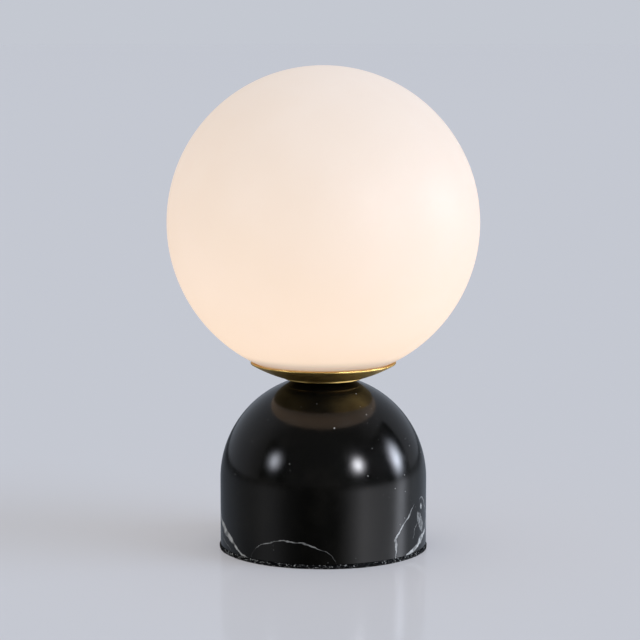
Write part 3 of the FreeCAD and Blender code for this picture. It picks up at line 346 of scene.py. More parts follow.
def finish_piece(bm, name, sharp_degrees=35):
    """Make the object: smooth faces, crisp where two faces meet at more than an angle."""
    for face in bm.faces:
        face.smooth = True
    for edge in bm.edges:
        if len(edge.link_faces) == 2 and edge.calc_face_angle(0) > math.radians(sharp_degrees):
            edge.smooth = False
    mesh = bpy.data.meshes.new(name)
    bm.to_mesh(mesh)
    bm.free()
    piece = bpy.data.objects.new(name, mesh)
    scene.collection.objects.link(piece)
    return piece


bm = bmesh.new()
dome_top = DOME_CENTRE + math.sqrt(BASE_RADIUS ** 2 - DOME_FLAT_RADIUS ** 2)
dome_degrees = math.degrees(math.acos(DOME_FLAT_RADIUS / BASE_RADIUS))
draw_profile(bm, (BORE_RADIUS, dome_top), (BORE_RADIUS, CAVITY_CEILING),
             (CAVITY_RADIUS, CAVITY_CEILING), (CAVITY_RADIUS, REBATE_TOP),
             (REBATE_RADIUS, REBATE_TOP), (REBATE_RADIUS, MARBLE_BOTTOM),
             (BASE_RADIUS - MARBLE_EDGE, MARBLE_BOTTOM),
             ("arc", (BASE_RADIUS - MARBLE_EDGE, MARBLE_BOTTOM + MARBLE_EDGE), -90, 4),
             (BASE_RADIUS, DOME_CENTRE), ("arc", (0, DOME_CENTRE), -dome_degrees, 48),
             (BORE_RADIUS, dome_top))
turn_profile(bm, MARBLE_STEPS_ROUND)
marble = finish_piece(bm, "marble_block")

# The cord hole goes in level from the rear, with a seat for the grommet's flange.
CORD_HEIGHT = 13 * MM
CORD_HOLE_RADIUS = 4.6 * MM
CORD_HOLE_FROM = CAVITY_RADIUS - 4 * MM
FLANGE_SEAT_RADIUS = 6.1 * MM
FLANGE_SEAT_AT = 48.8 * MM
DRILL_PAST_WALL = 2 * MM
DRILL_SIDES = 48


def cut_away(piece, tool):
    """Cut a tool's shape out of a piece and throw the tool away."""
    cut = piece.modifiers.new("cut", "BOOLEAN")
    cut.operation = "DIFFERENCE"
    cut.solver = "EXACT"
    cut.object = tool
    with bpy.context.temp_override(object=piece, active_object=piece):
        bpy.ops.object.modifier_apply(modifier=cut.name)
    bpy.data.objects.remove(tool)


for radius, start, end in ((CORD_HOLE_RADIUS, CORD_HOLE_FROM, BASE_RADIUS),
                           (FLANGE_SEAT_RADIUS, FLANGE_SEAT_AT, BASE_RADIUS + DRILL_PAST_WALL)):
    bm = bmesh.new()
    bmesh.ops.create_cone(bm, cap_ends=True, segments=DRILL_SIDES, radius1=radius, radius2=radius,
                          depth=end - start)
    bmesh.ops.rotate(bm, verts=bm.verts, cent=(0, 0, 0),
                     matrix=Matrix.Rotation(math.pi / 2, 3, "X"))
    bmesh.ops.translate(bm, verts=bm.verts, vec=(0, (start + end) / 2, CORD_HEIGHT))
    cut_away(marble, finish_piece(bm, "cord_drill"))

MARBLE_BLACK = (0.0042, 0.0042, 0.0036, 1)
MARBLE_CLOUD = (0.0085, 0.0079, 0.0064, 1)
CALCITE = (0.90, 0.89, 0.86, 1)
MARBLE_ROUGHNESS = (0.13, 0.18)
MARBLE_SPECULAR = 0.34
MARBLE_TINT = (1.0, 0.88, 0.78, 1)
# each vein runs round the wall: its full thickness in mm, how white it is, and the points
# that it passes, in cm round from the front, to the right, and cm over the table
VEINS_ROUND = (
    (3.2, 0.58, (
        (-11.9, 0.2), (-11.2, 1.4), (-9.8, 2.6), (-8.6, 2.3), (-7.6, 1.8), (-6.85, 1.48),
        (-6.21, 1.18), (-5.67, 0.97), (-5.19, 0.75), (-4.82, 0.5), (-4.42, 0.31),
        (-3.79, 0.15),
    )),
    (0.7, 0.2, (
        (-7.6, 1.0), (-6.81, 0.9), (-6.42, 0.64), (-5.87, 0.49), (-5.4, 0.34),
    )),
    (0.55, 0.34, (
        (-3.79, 0.18), (-3.69, 0.46), (-3.47, 0.76), (-3.05, 1.01), (-2.67, 1.1),
        (-1.99, 1.28), (-1.08, 1.24), (-0.52, 1.09), (-0.02, 0.9), (0.35, 0.66),
        (0.57, 0.37), (0.62, 0.15),
    )),
    (3.0, 1.0, (
        (4.5, 0.22), (4.94, 0.3), (5.32, 0.41), (5.66, 0.53), (5.98, 0.69), (6.39, 0.84),
        (6.8, 1.05),
    )),
    (1.9, 1.0, (
        (5.2, 0.37), (5.66, 0.53), (6.39, 0.84), (6.8, 1.05), (7.19, 1.36), (7.6, 1.9),
        (7.9, 2.35), (8.4, 2.6), (8.8, 2.65), (9.4, 3.1), (10.1, 3.3), (10.5, 3.7),
    )),
    (0.8, 0.55, (
        (8.7, 2.62), (9.3, 2.45), (9.9, 2.5), (10.8, 2.1), (11.5, 2.15), (12.4, 1.6),
        (12.9, 1.3), (13.3, 0.9), (14.1, 0.6), (14.4, 0.2),
    )),
    (1.3, 0.36, (
        (5.78, 2.56), (5.92, 2.74), (6.11, 2.77), (6.39, 2.58), (6.7, 2.25), (6.95, 1.91),
        (7.3, 1.7),
    )),
    (3.3, 0.8, (
        (5.88, 2.37), (6.15, 2.31),
    )),
    (0.9, 0.4, (
        (10.2, 3.4), (10.9, 3.45), (11.7, 3.2), (12.6, 3.5), (13.6, 3.3), (14.7, 3.9),
        (15.71, 4.4),
    )),
    (0.6, 0.36, (
        (-15.71, 4.4), (-14.1, 3.8), (-12.8, 2.1), (-11.3, 1.5),
    )),
)
# and up the wall: cm over the table, cm round from the front
VEINS_UP = (
    (1.3, 0.74, (
        (0.1, 3.75), (0.58, 3.82), (0.93, 3.75), (1.15, 3.76), (1.32, 3.9), (1.61, 4.17),
        (1.89, 4.51), (2.13, 4.79), (2.35, 4.92), (2.58, 5.25),
    )),
    (0.6, 0.28, (
        (0.89, 5.07), (1.13, 5.25), (1.4, 5.33), (1.58, 5.56),
    )),
    (0.4, 0.28, (
        (2.2, -9.8), (3.0, -9.2), (4.1, -9.5), (5.2, -8.8), (6.0, -9.2),
    )),
)
# past its ends a vein's course drops out of reach, and near them it thins
VEIN_GONE = -30.0
VEIN_END_STEP = 0.01
VEIN_TAPER = 0.3
VEIN_END_FULLNESS = 0.2
# from its middle a vein is whole and then gone at these shares of its thickness
VEIN_WHOLE = 0.30
VEIN_EDGE = 0.70
# noise breaks the veins down to a share of their whiteness, and thins or swells them
BREAK_SPACING = 3.5 * MM
VEIN_BROKEN = 0.35
SWELL_SPACING = 6 * MM
VEIN_THINNED = 1.6
VEIN_SWOLLEN = 0.75
# noise pushes the veins by up to about half of this many cm, round and up
WANDER_SPACING = 4.5 * MM
WANDER_ROUND = 0.28
WANDER_UP = 0.20
# hair cracks net the rear and fade out toward the front
CRACK_SPACING = 24 * MM
CRACK_WANDER = 7 * MM
CRACK_WIDTH = 0.006
CRACK_WHITE = 0.05
CRACKS_GONE_AT = -0.3 * BASE_RADIUS
CRACKS_FULL_AT = 0.2 * BASE_RADIUS
# the eye of pale crystals, round and up in cm: its middle, half its width and height, its
# lean, and how white its darkest and palest streaks are
EYE_CENTRE = (5.93, 1.60)
EYE_HALF = (0.335, 0.60)
EYE_LEAN = 0.52
EYE_WHITE = (0.07, 0.42)
# a cell of the stone holds a speck if its random number is above a share, which is
# higher on the left than on the right
SPECK_SPACING = 2.6 * MM
SPECK_RAGGED = 0.8 * MM
SPECKS_LEFT = (-35 * MM, 0.91)
SPECKS_RIGHT = (45 * MM, 0.56)
SPECK_LEAST = 0.030
SPECK_SPREAD = 0.12
SPECK_WHITE = 0.55


def noise_node(tree, place, spacing, detail=3.0, roughness=0.5, output="Fac"):
    """Add a noise whose blobs are about one spacing apart, in metres."""
    node = add_node(tree, "ShaderNodeTexNoise", Scale=1.0 / spacing, Detail=detail,
                    Roughness=roughness)
    tree.links.new(place, node.inputs["Vector"])
    return node.outputs[output]


def add_bump(tree, shader, source, deep, strength=1.0):
    """Give a shader a bump of a depth in metres."""
    bump = add_node(tree, "ShaderNodeBump", Strength=strength, Distance=deep)
    tree.links.new(source, bump.inputs["Height"])
    tree.links.new(bump.outputs[0], shader.inputs["Normal"])


marble_material, tree, shader = new_material("black_marble")
place = object_place(tree)
at = split_vector(tree, place)
turned_by = math_node(tree, "ARCTAN2", at["X"], math_node(tree, "MULTIPLY", at["Y"], -1.0))
wander = vector_node(tree, "SUBTRACT", noise_node(tree, place, WANDER_SPACING, 4, 0.6, "Color"),
                     (0.5, 0.5, 0.5))
drift = split_vector(tree, wander)
round_wall = math_node(tree, "MULTIPLY", turned_by, BASE_RADIUS / CM)
round_wall = math_node(tree, "MULTIPLY_ADD", drift["X"], WANDER_ROUND, round_wall)
up_wall = math_node(tree, "DIVIDE", at["Z"], CM)
up_wall = math_node(tree, "MULTIPLY_ADD", drift["Y"], WANDER_UP, up_wall)
broken = ramp_between(tree, noise_node(tree, place, BREAK_SPACING, 4, 0.6), 0.38, 0.58,
                      VEIN_BROKEN, 1.0)
swell = ramp_between(tree, noise_node(tree, place, SWELL_SPACING, 3), 0.35, 0.65,
                     VEIN_THINNED, VEIN_SWOLLEN)


def vein_whiteness(tree, along, across, thick, white, points):
    """Whiteness of one vein, whose points give its place across for each place along."""
    start, end = points[0][0], points[-1][0]
    taper = (end - start) * VEIN_TAPER
    course = curve_node(tree, along, ((start - VEIN_END_STEP, VEIN_GONE), *points,
                                      (end + VEIN_END_STEP, VEIN_GONE)))
    fullness = curve_node(tree, along, ((start, VEIN_END_FULLNESS), (start + taper, 1),
                                        (end - taper, 1), (end, VEIN_END_FULLNESS)))
    off = math_node(tree, "ABSOLUTE", math_node(tree, "SUBTRACT", across, course))
    width = math_node(tree, "MULTIPLY", fullness, thick * MM / CM)
    ratio = math_node(tree, "MULTIPLY", math_node(tree, "DIVIDE", off, width), swell)
    return ramp_between(tree, ratio, VEIN_WHOLE, VEIN_EDGE, white, 0.0)


calcite = 0.0
for veins, along, across in ((VEINS_ROUND, round_wall, up_wall), (VEINS_UP, up_wall, round_wall)):
    for thick, white, points in veins:
        line = vein_whiteness(tree, along, across, thick, white, points)
        calcite = math_node(tree, "MAXIMUM", calcite, line)
calcite = math_node(tree, "MULTIPLY", calcite, broken)

cracks = add_node(tree, "ShaderNodeTexVoronoi", feature="DISTANCE_TO_EDGE",
                  Scale=1 / CRACK_SPACING)
bent = vector_node(tree, "MULTIPLY", wander, (CRACK_WANDER, CRACK_WANDER, CRACK_WANDER))
tree.links.new(vector_node(tree, "ADD", place, bent), cracks.inputs["Vector"])
hair = ramp_between(tree, cracks.outputs["Distance"], 0.0, CRACK_WIDTH, CRACK_WHITE, 0.0)
hair_shown = ramp_between(tree, at["Y"], CRACKS_GONE_AT, CRACKS_FULL_AT, 0.0, 1.0)
calcite = math_node(tree, "MAXIMUM", calcite, math_node(tree, "MULTIPLY", hair, hair_shown))

eye_up = math_node(tree, "SUBTRACT", up_wall, EYE_CENTRE[1])
eye_round = math_node(tree, "SUBTRACT", round_wall, EYE_CENTRE[0])
eye_round = math_node(tree, "MULTIPLY_ADD", eye_up, EYE_LEAN, eye_round)
eye_place = add_node(tree, "ShaderNodeCombineXYZ")
tree.links.new(math_node(tree, "DIVIDE", eye_round, EYE_HALF[0]), eye_place.inputs["X"])
tree.links.new(math_node(tree, "DIVIDE", eye_up, EYE_HALF[1]), eye_place.inputs["Y"])
eye = ramp_between(tree, vector_node(tree, "LENGTH", eye_place.outputs[0]), 0.80, 1.0, 1.0, 0.0)
streaks = ramp_between(tree, noise_node(tree, place, 1.6 * MM, 5, 0.65), 0.36, 0.62, *EYE_WHITE)
calcite = math_node(tree, "MAXIMUM", calcite, math_node(tree, "MULTIPLY", eye, streaks))

specks = add_node(tree, "ShaderNodeTexVoronoi", feature="F1", Scale=1 / SPECK_SPACING)
ragged = vector_node(tree, "MULTIPLY", wander, (SPECK_RAGGED, SPECK_RAGGED, SPECK_RAGGED))
tree.links.new(vector_node(tree, "ADD", place, ragged), specks.inputs["Vector"])
random = add_node(tree, "ShaderNodeSeparateColor")
tree.links.new(specks.outputs["Color"], random.inputs[0])
rarity = ramp_between(tree, at["X"], SPECKS_LEFT[0], SPECKS_RIGHT[0], SPECKS_LEFT[1],
                      SPECKS_RIGHT[1], smooth=False)
chosen = math_node(tree, "GREATER_THAN", random.outputs[0], rarity)
size = math_node(tree, "MULTIPLY_ADD", math_node(tree, "POWER", random.outputs[1], 3.0),
                 SPECK_SPREAD, SPECK_LEAST)
near = math_node(tree, "LESS_THAN", specks.outputs["Distance"], size)
speck = math_node(tree, "MULTIPLY", math_node(tree, "MULTIPLY", chosen, near), random.outputs[2])
speck = math_node(tree, "MULTIPLY", speck, SPECK_WHITE)
calcite = math_node(tree, "MAXIMUM", calcite, speck, clamp=True)

cloud = ramp_between(tree, noise_node(tree, place, 24 * MM, 5, 0.6), 0.42, 0.72, 0.0, 1.0)
stone = mix_colour(tree, cloud, MARBLE_BLACK, MARBLE_CLOUD)
tree.links.new(mix_colour(tree, calcite, stone, CALCITE), shader.inputs["Base Color"])
tree.links.new(ramp_between(tree, noise_node(tree, place, 6 * MM, 4), 0.3, 0.7,
                            *MARBLE_ROUGHNESS), shader.inputs["Roughness"])
shader.inputs["Specular IOR Level"].default_value = MARBLE_SPECULAR
shader.inputs["Specular Tint"].default_value = MARBLE_TINT
add_bump(tree, shader, noise_node(tree, place, 9 * MM, 2), 0.02 * MM, 0.35)
marble.data.materials.append(marble_material)
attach(marble, "base")
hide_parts("marble_base")

# ---------------------------------------------------------------- foot pad
# Soft black foam cut round by hand and glued under the marble, a little proud of it,
# with three holes for a screwdriver.
PAD_RADIUS = 50.75 * MM
PAD_THICK = 2 * MM
PAD_HOLE_RADIUS = 4 * MM
COVER_SCREW_AT = 31.75 * MM
# the edge wavers inward by this, as a sum of waves: how many round, where they start, weight
PAD_WAVER = 0.45 * MM
PAD_WAVES = ((7, 0.6, 1.0), (19, 2.1, 0.7), (43, 0.0, 0.5), (97, 1.3, 0.5))
PAD_STEPS_ROUND = 240
PAD_PUNCH_SIDES = 40
# the middle of the underside lies this much over the table
PAD_HOLLOW = 0.02 * MM
FOAM_BLACK = (0.003, 0.003, 0.003, 1)
FOAM_CELL = 0.45 * MM
DUST_COLOUR = (0.62, 0.61, 0.59, 1)
DUST_SPACING = 0.8 * MM
FOAM_ROUGHNESS = 0.85
FOAM_SPECULAR = 0.05

bm = bmesh.new()
draw_profile(bm, (0, PAD_HOLLOW), (PAD_RADIUS - 0.7 * MM, 0.0),
             (PAD_RADIUS - 0.25 * MM, 0.15 * MM),
             (PAD_RADIUS - 0.1 * MM, 0.6 * MM), (PAD_RADIUS - 0.1 * MM, 1.3 * MM),
             (PAD_RADIUS - 0.35 * MM, PAD_THICK), (0, PAD_THICK))
turn_profile(bm, PAD_STEPS_ROUND)
for vert in bm.verts:
    angle = math.atan2(vert.co.y, vert.co.x)
    if vert.co.xy.length > BASE_RADIUS - 1 * MM:
        waver = (sum(weight * math.sin(count * angle + phase) for count, phase, weight in PAD_WAVES)
                 / sum(weight for count, phase, weight in PAD_WAVES))
        vert.co.xy *= 1 - PAD_WAVER * (0.5 + 0.5 * waver) / PAD_RADIUS
pad = finish_piece(bm, "foam_pad", sharp_degrees=50)
for turn in (-90, 30, 150):
    bm = bmesh.new()
    bmesh.ops.create_cone(bm, cap_ends=True, segments=PAD_PUNCH_SIDES, radius1=PAD_HOLE_RADIUS,
                          radius2=PAD_HOLE_RADIUS, depth=4 * PAD_THICK)
    toward = Vector((math.cos(math.radians(turn)), math.sin(math.radians(turn)), 0))
    bmesh.ops.translate(bm, verts=bm.verts, vec=toward * COVER_SCREW_AT)
    cut_away(pad, finish_piece(bm, "pad_punch"))

foam_material, tree, shader = new_material("black_foam")
place = object_place(tree)
cells = add_node(tree, "ShaderNodeTexVoronoi", feature="F1", Scale=1 / FOAM_CELL)
tree.links.new(place, cells.inputs["Vector"])
dust = ramp_between(tree, noise_node(tree, place, DUST_SPACING, 5, 0.7), 0.57, 0.63, 0.0, 0.9)
tree.links.new(mix_colour(tree, dust, FOAM_BLACK, DUST_COLOUR), shader.inputs["Base Color"])
shader.inputs["Roughness"].default_value = FOAM_ROUGHNESS
shader.inputs["Specular IOR Level"].default_value = FOAM_SPECULAR
add_bump(tree, shader, cells.outputs["Distance"], 0.12 * MM, 0.7)
pad.data.materials.append(foam_material)
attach(pad, "base")
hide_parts("foot_pad")

# ---------------------------------------------------------------- cover plate and its screws
# A zinc-plated steel disc closes the wiring cavity. Three countersunk M3 screws hold it,
# in brass inserts glued into the marble.


def dress(material, *nodes):
    """Give CAD nodes a material in every slot that they have."""
    for node in nodes:
        for slot in cad[node].material_slots:
            slot.material = material


def metal_finish(name, light, dark, smoothest, roughest, grain, scratch):
    """A bare or plated metal: two tones in clouds, uneven gloss and fine scratches.

    The gloss runs between two roughnesses; grain is the clouds' spacing and scratch the
    depth of the scratches, in metres.
    """
    material, tree, shader = new_material(name)
    place = object_place(tree)
    clouds = ramp_between(tree, noise_node(tree, place, grain, 4, 0.6), 0.35, 0.65, 0.0, 1.0)
    tree.links.new(mix_colour(tree, clouds, (*light, 1), (*dark, 1)), shader.inputs["Base Color"])
    shader.inputs["Metallic"].default_value = 1.0
    tree.links.new(ramp_between(tree, noise_node(tree, place, grain / 4, 4), 0.3, 0.7,
                                smoothest, roughest), shader.inputs["Roughness"])
    drawn = vector_node(tree, "MULTIPLY", place, (1.0, 9.0, 2.0))
    add_bump(tree, shader, noise_node(tree, drawn, grain / 2, 4, 0.7), scratch, 0.5)
    return material


zinc_material = metal_finish("zinc_steel", (0.64, 0.66, 0.69), (0.50, 0.51, 0.50), 0.26, 0.44,
                             3 * MM, 0.02 * MM)
insert_material = metal_finish("bare_brass", (0.78, 0.57, 0.27), (0.60, 0.42, 0.19), 0.28, 0.46,
                               2 * MM, 0.02 * MM)
dress(zinc_material, "base_cover_plate", "cover_screws")
dress(insert_material, "marble_inserts")

# ---------------------------------------------------------------- cord grommet
# A black rubber grommet, moulded with a flange, pushed into the hole at the rear. A fine
# bloom lies on the rubber.
RUBBER_BLACK = (0.012, 0.012, 0.013, 1)
RUBBER_BLOOM = (0.040, 0.040, 0.038, 1)
RUBBER_ROUGHNESS = (0.42, 0.65)
RUBBER_SPECULAR = 0.4

rubber_material, tree, shader = new_material("black_rubber")
place = object_place(tree)
bloom = ramp_between(tree, noise_node(tree, place, 2.5 * MM, 5, 0.65), 0.45, 0.75, 0.0, 1.0)
tree.links.new(mix_colour(tree, bloom, RUBBER_BLACK, RUBBER_BLOOM), shader.inputs["Base Color"])
tree.links.new(ramp_between(tree, bloom, 0.0, 1.0, *RUBBER_ROUGHNESS),
               shader.inputs["Roughness"])
shader.inputs["Specular IOR Level"].default_value = RUBBER_SPECULAR
add_bump(tree, shader, noise_node(tree, place, 0.35 * MM, 3), 0.015 * MM, 0.6)
dress(rubber_material, "cord_grommet")

# ---------------------------------------------------------------- terminal block
# A two-pole block of natural polyamide with brass clamps and zinc screws. One M3 screw
# and nut fix it to the cover plate.


def moulded_finish(name, light, dark, smoothest, roughest, grain, texture):
    """A moulded or fired body: two near tones in clouds, uneven gloss and a fine skin.

    The gloss runs between two roughnesses; grain is the clouds' spacing and texture the
    depth of the skin, in metres.
    """
    material, tree, shader = new_material(name)
    place = object_place(tree)
    clouds = ramp_between(tree, noise_node(tree, place, grain, 4, 0.55), 0.3, 0.7, 0.0, 1.0)
    tree.links.new(mix_colour(tree, clouds, (*light, 1), (*dark, 1)), shader.inputs["Base Color"])
    tree.links.new(ramp_between(tree, noise_node(tree, place, grain / 3, 3), 0.3, 0.7,
                                smoothest, roughest), shader.inputs["Roughness"])
    add_bump(tree, shader, noise_node(tree, place, grain / 12, 3, 0.6), texture, 0.5)
    return material, tree, shader


block_material, tree, shader = moulded_finish(
    "natural_plastic", (0.80, 0.78, 0.69), (0.72, 0.69, 0.58), 0.34, 0.48, 5 * MM, 0.015 * MM)
shader.inputs["Subsurface Weight"].default_value = 0.15
shader.inputs["Subsurface Scale"].default_value = 1 * MM
dress(block_material, "terminal_block")
dress(insert_material, "terminal_clamps")
dress(zinc_material, "terminal_screws", "terminal_fixing_screw", "terminal_fixing_nut")

# ---------------------------------------------------------------- threaded tube and what clamps it
# An M10 steel tube runs up through the marble. A washer, a toothed washer and a nut pull
# it down in the cavity, and black plastic bushes guard the wires at both ends.
bush_material, tree, shader = moulded_finish(
    "black_plastic", (0.020, 0.020, 0.021), (0.034, 0.034, 0.034), 0.36, 0.52, 4 * MM, 0.02 * MM)
dress(zinc_material, "threaded_tube", "base_washer", "lock_washer", "base_nut")
dress(bush_material, "tube_bush_lower", "tube_bush_upper")

# ---------------------------------------------------------------- brass disc and dish
# A small turned disc on the dome and a dish spun from 1 mm sheet over it, both polished
# and lacquered. The spinning tool leaves very fine rings.
DISC_RADIUS = 19 * MM
DISC_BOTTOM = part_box("foot_disc")[0][2]
DISC_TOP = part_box("foot_disc")[1][2]
DISC_EASE = 0.3 * MM
TUBE_HOLE = 5.1 * MM
DISH_SHEET = 1.0 * MM
DISH_FLOOR = DISC_TOP + DISH_SHEET
DISH_FLAT_RADIUS = 21.5 * MM
BOWL_RADIUS = 68.7 * MM
RIM_RADIUS = 34.4 * MM
DISC_STEPS_ROUND = 128
DISH_STEPS_ROUND = 192
BRASS_BRIGHT = (0.84, 0.56, 0.18, 1)
BRASS_DULL = (0.72, 0.44, 0.12, 1)
BRASS_ROUGHNESS = (0.36, 0.46)
RING_SPACING = 0.28 * MM
RING_DEEP = 0.012 * MM

bm = bmesh.new()
draw_profile(bm, (TUBE_HOLE, DISC_TOP), (TUBE_HOLE, DISC_BOTTOM),
             (DISC_RADIUS - DISC_EASE, DISC_BOTTOM),
             ("arc", (DISC_RADIUS - DISC_EASE, DISC_BOTTOM + DISC_EASE), -90, 6),
             (DISC_RADIUS, DISC_TOP - DISC_EASE),
             ("arc", (DISC_RADIUS - DISC_EASE, DISC_TOP - DISC_EASE), -90, 6),
             (TUBE_HOLE, DISC_TOP))
turn_profile(bm, DISC_STEPS_ROUND)
disc = finish_piece(bm, "brass_foot_disc")

bm = bmesh.new()
bowl_centre = DISH_FLOOR + math.sqrt(BOWL_RADIUS ** 2 - DISH_FLAT_RADIUS ** 2)
outer_bowl = BOWL_RADIUS + DISH_SHEET
under_radius = math.sqrt(outer_bowl ** 2 - (bowl_centre - DISC_TOP) ** 2)
rim_angle = math.degrees(math.asin(RIM_RADIUS / BOWL_RADIUS))
under_angle = math.degrees(math.asin(under_radius / outer_bowl))
flat_angle = math.degrees(math.asin(DISH_FLAT_RADIUS / BOWL_RADIUS))
lip = BOWL_RADIUS + DISH_SHEET / 2
lip_centre = (lip * math.sin(math.radians(rim_angle)),
              bowl_centre - lip * math.cos(math.radians(rim_angle)))
draw_profile(bm, (TUBE_HOLE, DISH_FLOOR), (TUBE_HOLE, DISC_TOP), (under_radius, DISC_TOP),
             ("arc", (0, bowl_centre), -(rim_angle - under_angle), 20),
             ("arc", lip_centre, -180, 10),
             ("arc", (0, bowl_centre), rim_angle - flat_angle, 20), (TUBE_HOLE, DISH_FLOOR))
turn_profile(bm, DISH_STEPS_ROUND)
dish = finish_piece(bm, "spun_dish")

brass_material, tree, shader = new_material("bright_brass")
place = object_place(tree)
from_axis = vector_node(tree, "LENGTH", vector_node(tree, "MULTIPLY", place, (1, 1, 0)))
ring_place = add_node(tree, "ShaderNodeCombineXYZ")
tree.links.new(from_axis, ring_place.inputs[0])
rings = noise_node(tree, ring_place.outputs[0], RING_SPACING, 3, 0.6)
tarnish = ramp_between(tree, noise_node(tree, place, 7 * MM, 4, 0.6), 0.35, 0.75, 0.0, 1.0)
tree.links.new(mix_colour(tree, tarnish, BRASS_BRIGHT, BRASS_DULL), shader.inputs["Base Color"])
shader.inputs["Metallic"].default_value = 1.0
tree.links.new(ramp_between(tree, noise_node(tree, place, 3 * MM, 4), 0.3, 0.7,
                            *BRASS_ROUGHNESS), shader.inputs["Roughness"])
add_bump(tree, shader, rings, RING_DEEP, 0.5)
for piece, node in ((disc, "foot_disc"), (dish, "brass_dish")):
    piece.data.materials.append(brass_material)
    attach(piece, "base")
    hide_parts(node)

# ---------------------------------------------------------------- silicone ring
# A flat ring of clear silicone on the dish's floor, on which the glass rests. Lint and
# finger grease dull it in places.
silicone_material, tree, shader = moulded_finish(
    "clear_silicone", (0.80, 0.78, 0.74), (0.70, 0.68, 0.63), 0.30, 0.50, 7 * MM, 0.02 * MM)
shader.inputs["Subsurface Weight"].default_value = 0.35
shader.inputs["Subsurface Scale"].default_value = 2 * MM
dress(silicone_material, "globe_seat_ring")

# ---------------------------------------------------------------- spring fitter
# Three leaf springs of hardened strip, riveted to a steel plate, hold the globe by its
# mouth. A washer and a nut on the tube clamp the plate, the dish and the disc.
spring_material = metal_finish("spring_steel", (0.58, 0.56, 0.53), (0.42, 0.40, 0.38), 0.22, 0.36,
                               4 * MM, 0.012 * MM)
dress(zinc_material, "spring_plate", "spring_rivets", "fitter_washer", "fitter_nut")
dress(spring_material, "globe_springs")

# ---------------------------------------------------------------- lampholder
# A G9 holder of white steatite on a bent steel bracket, which a thin nut holds on the
# tube. Two screws join its body and cover, and nickel contacts sit in its chambers.
PORE_SPACING = 0.9 * MM
PORE_COLOUR = (0.45, 0.40, 0.33, 1)

ceramic_material, tree, shader = moulded_finish(
    "white_ceramic", (0.84, 0.82, 0.77), (0.76, 0.73, 0.66), 0.40, 0.62, 6 * MM, 0.03 * MM)
pores = add_node(tree, "ShaderNodeTexVoronoi", feature="F1", Scale=1 / PORE_SPACING)
tree.links.new(object_place(tree), pores.inputs["Vector"])
pore = ramp_between(tree, pores.outputs["Distance"], 0.05, 0.11, 0.6, 0.0)
fired = shader.inputs["Base Color"].links[0].from_socket
tree.links.new(mix_colour(tree, pore, fired, PORE_COLOUR), shader.inputs["Base Color"])
nickel_material = metal_finish("nickel", (0.70, 0.67, 0.61), (0.58, 0.54, 0.47), 0.20, 0.34,
                               2 * MM, 0.01 * MM)
dress(zinc_material, "holder_bracket", "bracket_nut", "lampholder_screws")
dress(ceramic_material, "lampholder_cover", "lampholder_body")
dress(nickel_material, "lampholder_contacts")

# ---------------------------------------------------------------- wires
# Two insulated wires, brown and blue, run from the terminal block up the tube to the
# holder's contacts. Handling has dulled their soft plastic in patches.
brown_material, tree, shader = moulded_finish(
    "brown_insulation", (0.17, 0.075, 0.033), (0.12, 0.050, 0.022), 0.28, 0.44, 3 * MM, 0.01 * MM)
blue_material, tree, shader = moulded_finish(
    "blue_insulation", (0.035, 0.14, 0.42), (0.028, 0.10, 0.32), 0.28, 0.44, 3 * MM, 0.01 * MM)
dress(brown_material, "wire_live")
dress(blue_material, "wire_neutral")

# ---------------------------------------------------------------- bulb
# An LED bulb with a G9 foot. Its cover is frosted and glows warm over the rows of LEDs
# on the board inside; the collar and foot are white plastic and the pins nickel.
GLOW_WARM = (1.0, 0.80, 0.55)
COVER_GLOW = 0.80
LED_GLOW = 0.7
# the cover's glow fades past each end of the rows: from there, to there, and what is left
FADE_BELOW = (-9 * MM, 5 * MM, 0.10)
FADE_ABOVE = (-3 * MM, 8 * MM, 0.55)
LED_LOW, LED_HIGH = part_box("bulb_leds")[0][2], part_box("bulb_leds")[1][2]

collar_material, tree, shader = moulded_finish(
    "white_plastic", (0.84, 0.83, 0.80), (0.78, 0.76, 0.71), 0.32, 0.46, 6 * MM, 0.015 * MM)
dress(collar_material, "bulb_base")
dress(nickel_material, "bulb_pins")

cover_material, tree, shader = moulded_finish(
    "frosted_cover", (0.88, 0.86, 0.81), (0.83, 0.80, 0.73), 0.38, 0.50, 5 * MM, 0.02 * MM)
place = object_place(tree)
height = split_vector(tree, place)["Z"]
low_end = ramp_between(tree, height, LED_LOW + FADE_BELOW[0], LED_LOW + FADE_BELOW[1],
                       FADE_BELOW[2], 1.0)
high_end = ramp_between(tree, height, LED_HIGH + FADE_ABOVE[0], LED_HIGH + FADE_ABOVE[1],
                        1.0, FADE_ABOVE[2])
glow = math_node(tree, "MULTIPLY", low_end, high_end)
shader.inputs["Emission Color"].default_value = (*GLOW_WARM, 1)
tree.links.new(math_node(tree, "MULTIPLY", glow, COVER_GLOW), shader.inputs["Emission Strength"])
dress(cover_material, "bulb_cover")

board_material, tree, shader = moulded_finish(
    "board_white", (0.86, 0.86, 0.84), (0.80, 0.80, 0.77), 0.30, 0.42, 4 * MM, 0.01 * MM)
dress(board_material, "bulb_board")
led_material, tree, shader = moulded_finish(
    "led_yellow", (0.88, 0.70, 0.20), (0.82, 0.60, 0.14), 0.30, 0.45, 1.5 * MM, 0.01 * MM)
shader.inputs["Emission Color"].default_value = (*GLOW_WARM, 1)
shader.inputs["Emission Strength"].default_value = LED_GLOW
dress(led_material, "bulb_leds")
driver_material, tree, shader = moulded_finish(
    "driver_black", (0.030, 0.030, 0.034), (0.055, 0.055, 0.060), 0.38, 0.55, 2 * MM, 0.015 * MM)
dress(driver_material, "bulb_driver")

# ---------------------------------------------------------------- globe
# Blown opal glass, white all through and satin outside. Its glow from the bulb inside is painted
# into the glass as emission, brighter and warmer low down.
# Its mouth is cut off flat. The mesh is the outer and the inner skin, open at the mouth.
GLOBE_RADIUS = 75 * MM
GLOBE_WALL = 2.5 * MM
MOUTH_RADIUS = 21 * MM
GLOBE_STEPS_ROUND = 144
GLOBE_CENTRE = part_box("glass_globe")[1][2] - GLOBE_RADIUS

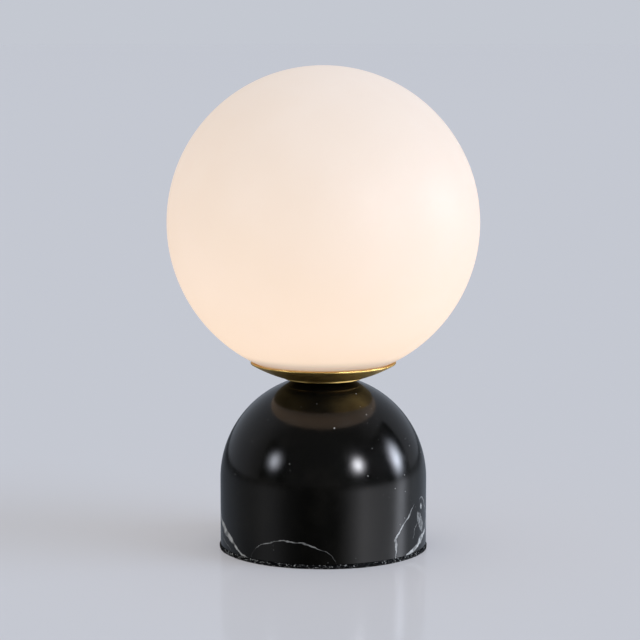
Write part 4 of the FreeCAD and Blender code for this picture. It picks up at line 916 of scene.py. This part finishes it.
bm = bmesh.new()
for radius, edges in ((GLOBE_RADIUS, 72), (GLOBE_RADIUS - GLOBE_WALL, 64)):
    sweep = 90 + math.degrees(math.acos(MOUTH_RADIUS / radius))
    draw_profile(bm, (MOUTH_RADIUS, GLOBE_CENTRE - math.sqrt(radius ** 2 - MOUTH_RADIUS ** 2)),
                 ("arc", (0, GLOBE_CENTRE), -sweep, edges))
turn_profile(bm, GLOBE_STEPS_ROUND)
globe = finish_piece(bm, "opal_globe")
OPAL_WHITE = (0.57, 0.555, 0.54, 1)
OPAL_THIN = (0.56, 0.543, 0.522, 1)
# painted glow of the bulb's light through the glass, at the bottom and at the top of the globe
GLOW_LOW = (0.772, 0.550, 0.358, 1)
GLOW_HIGH = (0.460, 0.346, 0.266, 1)
THICK_SPOT_DIM = (0.985, 0.98, 0.975)
# painted shade: the glow is dimmed by height just over the dish's rim, where the dish shades it
DISH_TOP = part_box("brass_dish")[1][2]
RIM_SHADE = 0.42
RIM_SHADE_HIGH = 6 * MM
GLOBE_ROUGHNESS = (0.50, 0.58)
GLOBE_SPECULAR = 0.22

globe_material, tree, shader = new_material("opal_glass")
place = object_place(tree)
height = split_vector(tree, place)["Z"]
rise = ramp_between(tree, height, GLOBE_CENTRE - GLOBE_RADIUS, GLOBE_CENTRE + GLOBE_RADIUS,
                    0.0, 1.0, smooth=False)
milk = ramp_between(tree, noise_node(tree, place, 30 * MM, 4, 0.5), 0.35, 0.65, 0.0, 1.0)
tree.links.new(mix_colour(tree, milk, OPAL_WHITE, OPAL_THIN), shader.inputs["Base Color"])
glow = mix_colour(tree, rise, GLOW_LOW, GLOW_HIGH)
thick_spots = ramp_between(tree, noise_node(tree, place, 22 * MM, 3, 0.5), 0.3, 0.7, 0.0, 1.0)
dimmed = vector_node(tree, "MULTIPLY", glow, THICK_SPOT_DIM)
tree.links.new(mix_colour(tree, thick_spots, glow, dimmed), shader.inputs["Emission Color"])
painted_rim_shade = ramp_between(tree, height, DISH_TOP, DISH_TOP + RIM_SHADE_HIGH, RIM_SHADE, 1.0)
tree.links.new(painted_rim_shade, shader.inputs["Emission Strength"])
tree.links.new(ramp_between(tree, noise_node(tree, place, 4 * MM, 4), 0.3, 0.7,
                            *GLOBE_ROUGHNESS), shader.inputs["Roughness"])
shader.inputs["Specular IOR Level"].default_value = GLOBE_SPECULAR
add_bump(tree, shader, noise_node(tree, place, 0.8 * MM, 3, 0.6), 0.01 * MM, 0.4)
globe.data.materials.append(globe_material)
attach(globe, "globe")
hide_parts("glass_globe")
